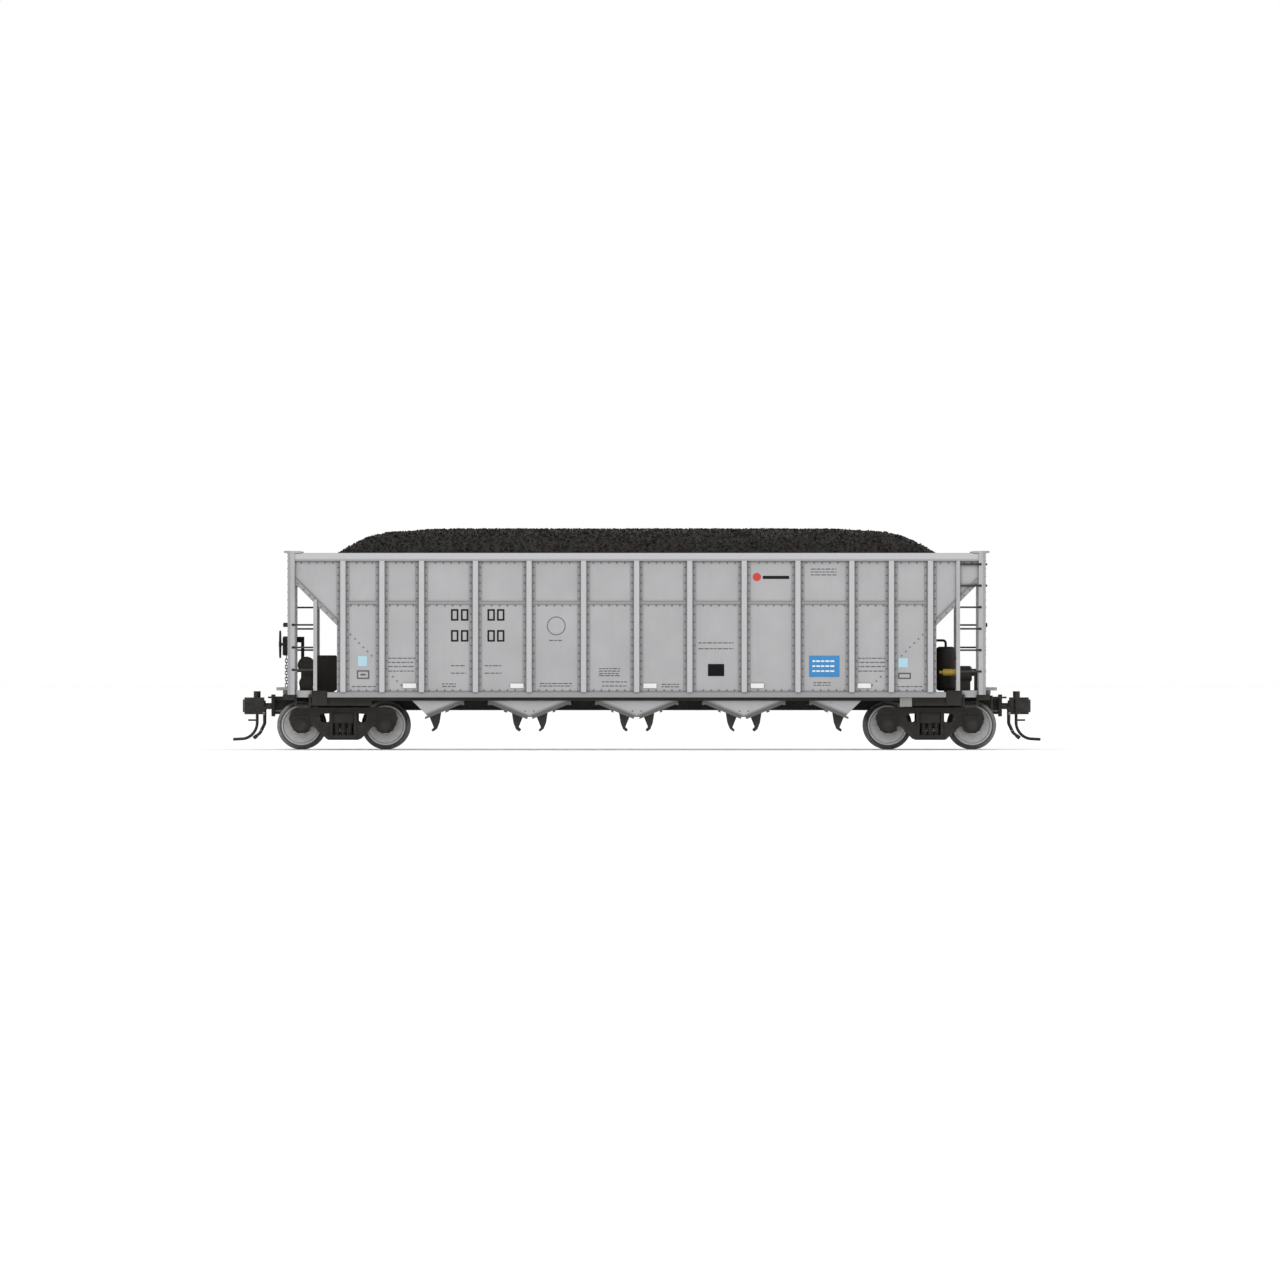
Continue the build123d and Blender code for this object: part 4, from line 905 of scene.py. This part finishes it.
def rung_feet(hand, side):
    """Black feet of the side rungs on the corner posts, and ticks where the top rungs pass the corner."""
    shape = Shape()
    for end in (-1, 1):
        full = end * side < 0  # the full ladders stand at -Y on the A end and +Y on the B end
        for height in RUNG_HEIGHTS if full else LOW_RUNG_HEIGHTS:
            add_plate(shape, side, (-side * end * (END_IN + 0.33), height), (0.75, 0.55), CORNER_OUT, 0.1)
        for height in RUNG_HEIGHTS[-2:] if full else ():
            add_corner_box(shape, end, side, (END_OUT - SUNK, 17.1, height - 0.25),
                           (END_OUT + 0.36, 18.4, height + 0.25))
    shape.piece(f"rung_feet_{hand}", BLACK, "car_body", "frame_black")


def rail_clamp(letter, end):
    """The clamp that holds the outer end of the safety rail, and its bolt."""
    shape = Shape()
    face, half_height = END_OUT + 1.05, 0.53
    add_corner_box(shape, end, end, (END_OUT - SUNK, 17.2, RAIL_Z - half_height),
                   (face, 18.45, RAIL_Z + half_height))
    add_dome(shape, (end * (face - 0.02), end * 17.85, RAIL_Z), (end, 0, 0), 0.24, 0.12)
    shape.piece(f"rail_clamp_{letter}", BLACK, "car_body", "frame_black")


def post_clips(letter, end):
    """Black clips that hold the end rungs on the end posts and on the corner posts."""
    shape = Shape()
    places = [(-y, height) for height in RUNG_HEIGHTS for y in (END_POST_Y, CORNER_CLIP_Y)]
    places += [(y, height) for height in LOW_RUNG_HEIGHTS[:2] for y in (END_POST_Y, CORNER_CLIP_Y)]
    for y, height in places:
        add_corner_box(shape, end, end, (END_OUT - SUNK, y - 0.32, height - 0.24),
                       (END_OUT + 0.1, y + 0.32, height + 0.24))
    shape.piece(f"post_clips_{letter}", BLACK, "car_body", "frame_black")


def end_marks(letter, end):
    """Hollow blocks on an end's top sheet and pale broken lines under its slope sheet."""
    blocks, lines = Shape(), Shape()
    for z in END_BLOCK_HEIGHTS:
        for y in END_BLOCK_YS:
            for low, high in END_BLOCK_BARS:
                add_corner_box(blocks, end, end, (END_IN + 0.66, y + low[0], z + low[1]),
                               (END_IN + 0.74, y + high[0], z + high[1]), 0.01)
    half = math.sqrt(0.5)  # the slope sheets stand at 45 degrees
    turn = Matrix(((0, end * half, end * half), (end, 0, 0), (0, half, -half)))
    chance = random.Random(17)
    inside = 0.02
    for z, first, last in SLOPE_LINES:
        for start, stop in dashes(first, last, chance):
            outline = rounded_outline(stop - start, 0.34, 0.05)
            place = (end * (z + SLOPE_OFFSET - inside), end * (start + stop) / 2, z + inside)
            add_prism(lines, outline, turn, place, 0.06, 0.01)
    blocks.piece(f"end_marks_{letter}", LETTER, "car_body", "frame_black")
    lines.piece(f"slope_lines_{letter}", PALE_STENCIL, "car_body", "plate_white")


for hand, side in SIDES:
    rung_feet(hand, side)
for letter, end in ENDS:
    rail_clamp(letter, end)
    post_clips(letter, end)
    end_marks(letter, end)


# ---------------------------------------------------------------- coal

# the heap's outline: (distance from the middle, height)
HEAP_ALONG = ((82.2, 43.0), (75.8, 46.0), (72.3, 47.5), (69.1, 49.4),
              (64.9, 51.6), (60.0, 52.7), (51.0, 53.3), (44.0, 53.6))
HEAP_ACROSS = ((16.6, 46.0), (14.4, 47.5), (11.9, 49.4), (8.3, 51.6), (6.3, 52.7), (4.6, 53.3), (3.3, 53.6))
CORNER_R = 3.8  # the load's rounded corners, seen from above
BED_DEPTH = 0.35  # how far the bed lies below the outline, under the loose lumps
LUMP_SIZES = (0.2, 0.24, 0.28, 0.34, 0.42)
LUMP_MARGIN = 0.15  # how far a lump may stand above the load's box


def profile_height(profile, distance):
    """The heap's height at a distance from the middle, along one direction."""
    if distance <= profile[-1][0]:
        return profile[-1][1]
    for (far, low), (near, high) in zip(profile, profile[1:]):
        if distance >= near:
            return low + (high - low) * (far - distance) / (far - near)
    return profile[0][1]


def half_width(x):
    """Half of the load's width at a place along the car, with its rounded corners."""
    full = LOAD_HIGH.y
    past = abs(x) - (LOAD_HIGH.x - CORNER_R)
    if past <= 0:
        return full
    return full - CORNER_R + math.sqrt(max(0.0, CORNER_R ** 2 - past ** 2))


def heap_height(x, y):
    """The bed's height: the lower of the two outlines, with gentle waves and small lumps."""
    rise = min(profile_height(HEAP_ALONG, abs(x)), profile_height(HEAP_ACROSS, abs(y)))
    wave = noise.noise(Vector((x * 0.11, y * 0.16, 3.0))) * 0.22
    lumps = noise.noise(Vector((x * 0.8, y * 0.8, 8.0))) * 0.22
    return rise - BED_DEPTH + wave + lumps


def coal_bed():
    """The heap itself: a closed form with a rough top."""
    columns, rows = 300, 64
    shape = Shape()
    points, faces = [], []
    for column in range(columns + 1):
        x = -LOAD_HIGH.x + 2 * LOAD_HIGH.x * column / columns
        wide = half_width(x)
        for row in range(rows + 1):
            y = -wide + 2 * wide * row / rows
            points.append((x, y, heap_height(x, y)))
    stride = rows + 1
    for column in range(columns):
        for row in range(rows):
            corner = column * stride + row
            faces.append((corner, corner + stride, corner + stride + 1, corner + 1))
    rim = [column * stride for column in range(columns + 1)]
    rim += [columns * stride + row for row in range(1, stride)]
    rim += [column * stride + rows for column in range(columns - 1, -1, -1)]
    rim += [row for row in range(rows - 1, 0, -1)]
    foot = len(points)
    points.extend((points[corner][0], points[corner][1], LOAD_LOW.z) for corner in rim)
    for step in range(len(rim)):
        after = (step + 1) % len(rim)
        faces.append((rim[after], rim[step], foot + step, foot + after))
    faces.append(tuple(foot + step for step in range(len(rim) - 1, -1, -1)))
    shape.add(points, faces)
    return shape


def lump_forms(chance, count=14):
    """A few angular lump shapes, as points and faces on a unit scale."""
    forms = []
    for _ in range(count):
        solid = bmesh.new()
        for _ in range(8):
            way = Vector((chance.gauss(0, 1), chance.gauss(0, 1), chance.gauss(0, 1))).normalized()
            solid.verts.new(way * chance.uniform(0.75, 1.0))
        bmesh.ops.convex_hull(solid, input=solid.verts)
        loose = [vert for vert in solid.verts if not vert.link_faces]
        bmesh.ops.delete(solid, geom=loose, context="VERTS")
        solid.verts.index_update()
        points = [vert.co.copy() for vert in solid.verts]
        faces = [tuple(vert.index for vert in face.verts) for face in solid.faces]
        forms.append((points, faces))
        solid.free()
    return forms


def add_lumps(shape, count=20000):
    """Loose lumps scattered over the heap, kept clear of the car's sides."""
    chance = random.Random(5)
    forms = lump_forms(chance)
    for _ in range(count):
        size = chance.choice(LUMP_SIZES) * chance.uniform(0.85, 1.15)
        x = chance.uniform(-1, 1) * (LOAD_HIGH.x - size)
        y = chance.uniform(-1, 1) * (half_width(x) - size)
        highest = LOAD_HIGH.z + LUMP_MARGIN - size
        z = min(heap_height(x, y) + size * chance.uniform(-0.2, 0.45), highest)
        angle = chance.uniform(0, math.tau)
        turn = Matrix.Rotation(angle, 3, Vector((chance.random(), chance.random(), 1)))
        squash = Matrix.Diagonal((1.0, chance.uniform(0.7, 1.0), chance.uniform(0.6, 0.95)))
        points, faces = chance.choice(forms)
        shape.add([Vector((x, y, z)) + turn @ squash @ (point * size) for point in points], faces)


heap = coal_bed()
add_lumps(heap)
coal = heap.piece("coal_heap", COAL, "load", "coal", smooth=20)
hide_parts("coal_load")


# ---------------------------------------------------------------- brake chain

def chain_link(shape, centre, along, across, length, width, wire):
    """One oval link."""
    steps = 20
    straight = (length - width) / 2
    ring = []
    for step in range(steps):
        angle = math.tau * step / steps
        shift = straight if math.sin(angle) > 0 else -straight
        ring.append(Vector(centre) + Vector(across) * (width / 2 * math.cos(angle))
                    + Vector(along) * (width / 2 * math.sin(angle) + shift))
    add_tube(shape, ring, wire, 6, closed=True)


def brake_chain():
    """Links from the hand wheel's housing down to the platform, each turned a quarter from the last."""
    low, high = node_box("brake_chain")
    x, y = (low.x + high.x) / 2, (low.y + high.y) / 2
    pitch, length, width, wire = 0.72, 0.98, 0.56, 0.1
    shape = Shape()
    spare = 0.02
    count = int((high.z - low.z - length) / pitch)
    start = low.z + length / 2 + spare
    step = (high.z - low.z - length - 2 * spare) / count
    for index in range(count + 1):
        across = (0, 1, 0) if index % 2 else (1, 0, 0)
        chain_link(shape, (x, y, start + index * step), (0, 0, 1), across, length, width, wire)
    chain = shape.piece("brake_chain_links", BLACK, "car_body", "frame_black", smooth=60)
    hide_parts("brake_chain")


brake_chain()


# ---------------------------------------------------------------- truck springs

def spring_nest(letter, end, hand, side):
    """Coils round the three moulded spring cores in one sideframe."""
    low_z, high_z, core_y = 3.5, 6.4, 12.0
    coil_r, wire, turns, steps = 0.64, 0.13, 5, 16
    travel = high_z - low_z - 2 * wire
    shape = Shape()
    for place in (-1.6, 0, 1.6):
        path = []
        for index in range(turns * steps + 1):
            angle = math.tau * index / steps
            share = index / (turns * steps)
            path.append((end * TRUCK_X + place + coil_r * math.cos(angle),
                         side * core_y + coil_r * math.sin(angle), low_z + wire + travel * share))
        add_tube(shape, path, wire, 6)
    shape.piece(f"spring_coils_{letter}_{hand}", COUPLER, f"truck_{letter}", "truck_black", smooth=60)


for letter, end in ENDS:
    for hand, side in SIDES:
        spring_nest(letter, end, hand, side)


# ---------------------------------------------------------------- hose clamps

def add_band(shape, centre, axis, radius=0.36, wire=0.07, sides=14):
    """A closed wire band round an axis."""
    turn = facing(axis)
    path = []
    for step in range(sides):
        angle = math.tau * step / sides
        path.append(Vector(centre) + turn @ Vector((radius * math.cos(angle), radius * math.sin(angle), 0)))
    add_tube(shape, path, wire, 6, closed=True)


def hose_clamps(letter, end):
    """Steel bands round the two hoses of one end."""
    shape = Shape()
    hose_x, hose_y = 90.1, 4.1
    for side in (-1, 1):
        for height in (8.9, 8.55):
            add_band(shape, (end * hose_x, side * hose_y, height), (0, 0, 1))
        add_band(shape, (end * (hose_x + 0.8), side * hose_y, 4.63), (end * 1.1, 0, -2.3))
    shape.piece(f"hose_clamps_{letter}", STEEL, "car_body", "bare_steel", smooth=60)


for letter, end in ENDS:
    hose_clamps(letter, end)


# ---------------------------------------------------------------- stage, lights and camera

def floor():
    """A wide pale floor at the railhead."""
    surface = Surface("pale_floor", 0.85)
    cloud = surface.ramp(surface.noise(0.02, 3), 0.3, 0.7)
    surface.colour(surface.mix(cloud, (0.93, 0.93, 0.925), (0.95, 0.95, 0.945)))
    size = 6.0
    corners = [(-size, -size, 0), (size, -size, 0), (size, size, 0), (-size, size, 0)]
    mesh = bpy.data.meshes.new("floor")
    mesh.from_pydata(corners, [], [(0, 1, 2, 3)])
    mesh.materials.append(surface.material)
    plane = bpy.data.objects.new("floor", mesh)
    bpy.context.scene.collection.objects.link(plane)


def soft_light(name, place, target, size, power):
    """A large rectangular lamp aimed at a point."""
    data = bpy.data.lights.new(name, "AREA")
    data.shape = "RECTANGLE"
    data.size, data.size_y = size
    data.energy = power
    lamp = bpy.data.objects.new(name, data)
    lamp.location = place
    lamp.rotation_euler = (Vector(target) - Vector(place)).to_track_quat("-Z", "Y").to_euler()
    bpy.context.scene.collection.objects.link(lamp)


def world():
    """An even bright surround: white to the camera, softer as a light."""
    made = bpy.data.worlds.new("studio")
    made.use_nodes = True
    tree = made.node_tree
    light = tree.nodes["Background"]
    light.inputs["Color"].default_value = (1, 1, 1, 1)
    light.inputs["Strength"].default_value = 0.84
    seen = tree.nodes.new("ShaderNodeBackground")
    seen.inputs["Color"].default_value = (1, 1, 1, 1)
    seen.inputs["Strength"].default_value = 1.0
    path = tree.nodes.new("ShaderNodeLightPath")
    choose = tree.nodes.new("ShaderNodeMixShader")
    tree.links.new(path.outputs["Is Camera Ray"], choose.inputs["Fac"])
    tree.links.new(light.outputs[0], choose.inputs[1])
    tree.links.new(seen.outputs[0], choose.inputs[2])
    tree.links.new(choose.outputs[0], tree.nodes["World Output"].inputs["Surface"])
    bpy.context.scene.world = made


def camera():
    """A long lens square to the car's side, a little above the railhead."""
    lens, sensor = 500, 36
    frame_width = 0.3087  # what the frame takes in at the car's near side
    across, eye_height = 0.0008, 0.0265
    near_side = CAD_BOX[0].y
    data = bpy.data.cameras.new("camera")
    data.lens, data.sensor_width = lens, sensor
    data.clip_end = 20
    viewer = bpy.data.objects.new("camera", data)
    viewer.location = (across, near_side - frame_width * lens / sensor, eye_height)
    viewer.rotation_euler = (math.radians(90), 0, 0)
    bpy.context.scene.collection.objects.link(viewer)
    bpy.context.scene.camera = viewer


bpy.context.scene.view_settings.view_transform = "Standard"
floor()
world()
soft_light("overhead", (0, 0, 3.2), (0, 0, 0), (16, 16), 240)
soft_light("key", (-0.7, -1.1, 0.9), (0, 0, 0.03), (0.7, 0.5), 2.0)
soft_light("back", (0.6, 1.2, 0.9), (0, 0, 0.03), (0.7, 0.5), 1.5)
camera()
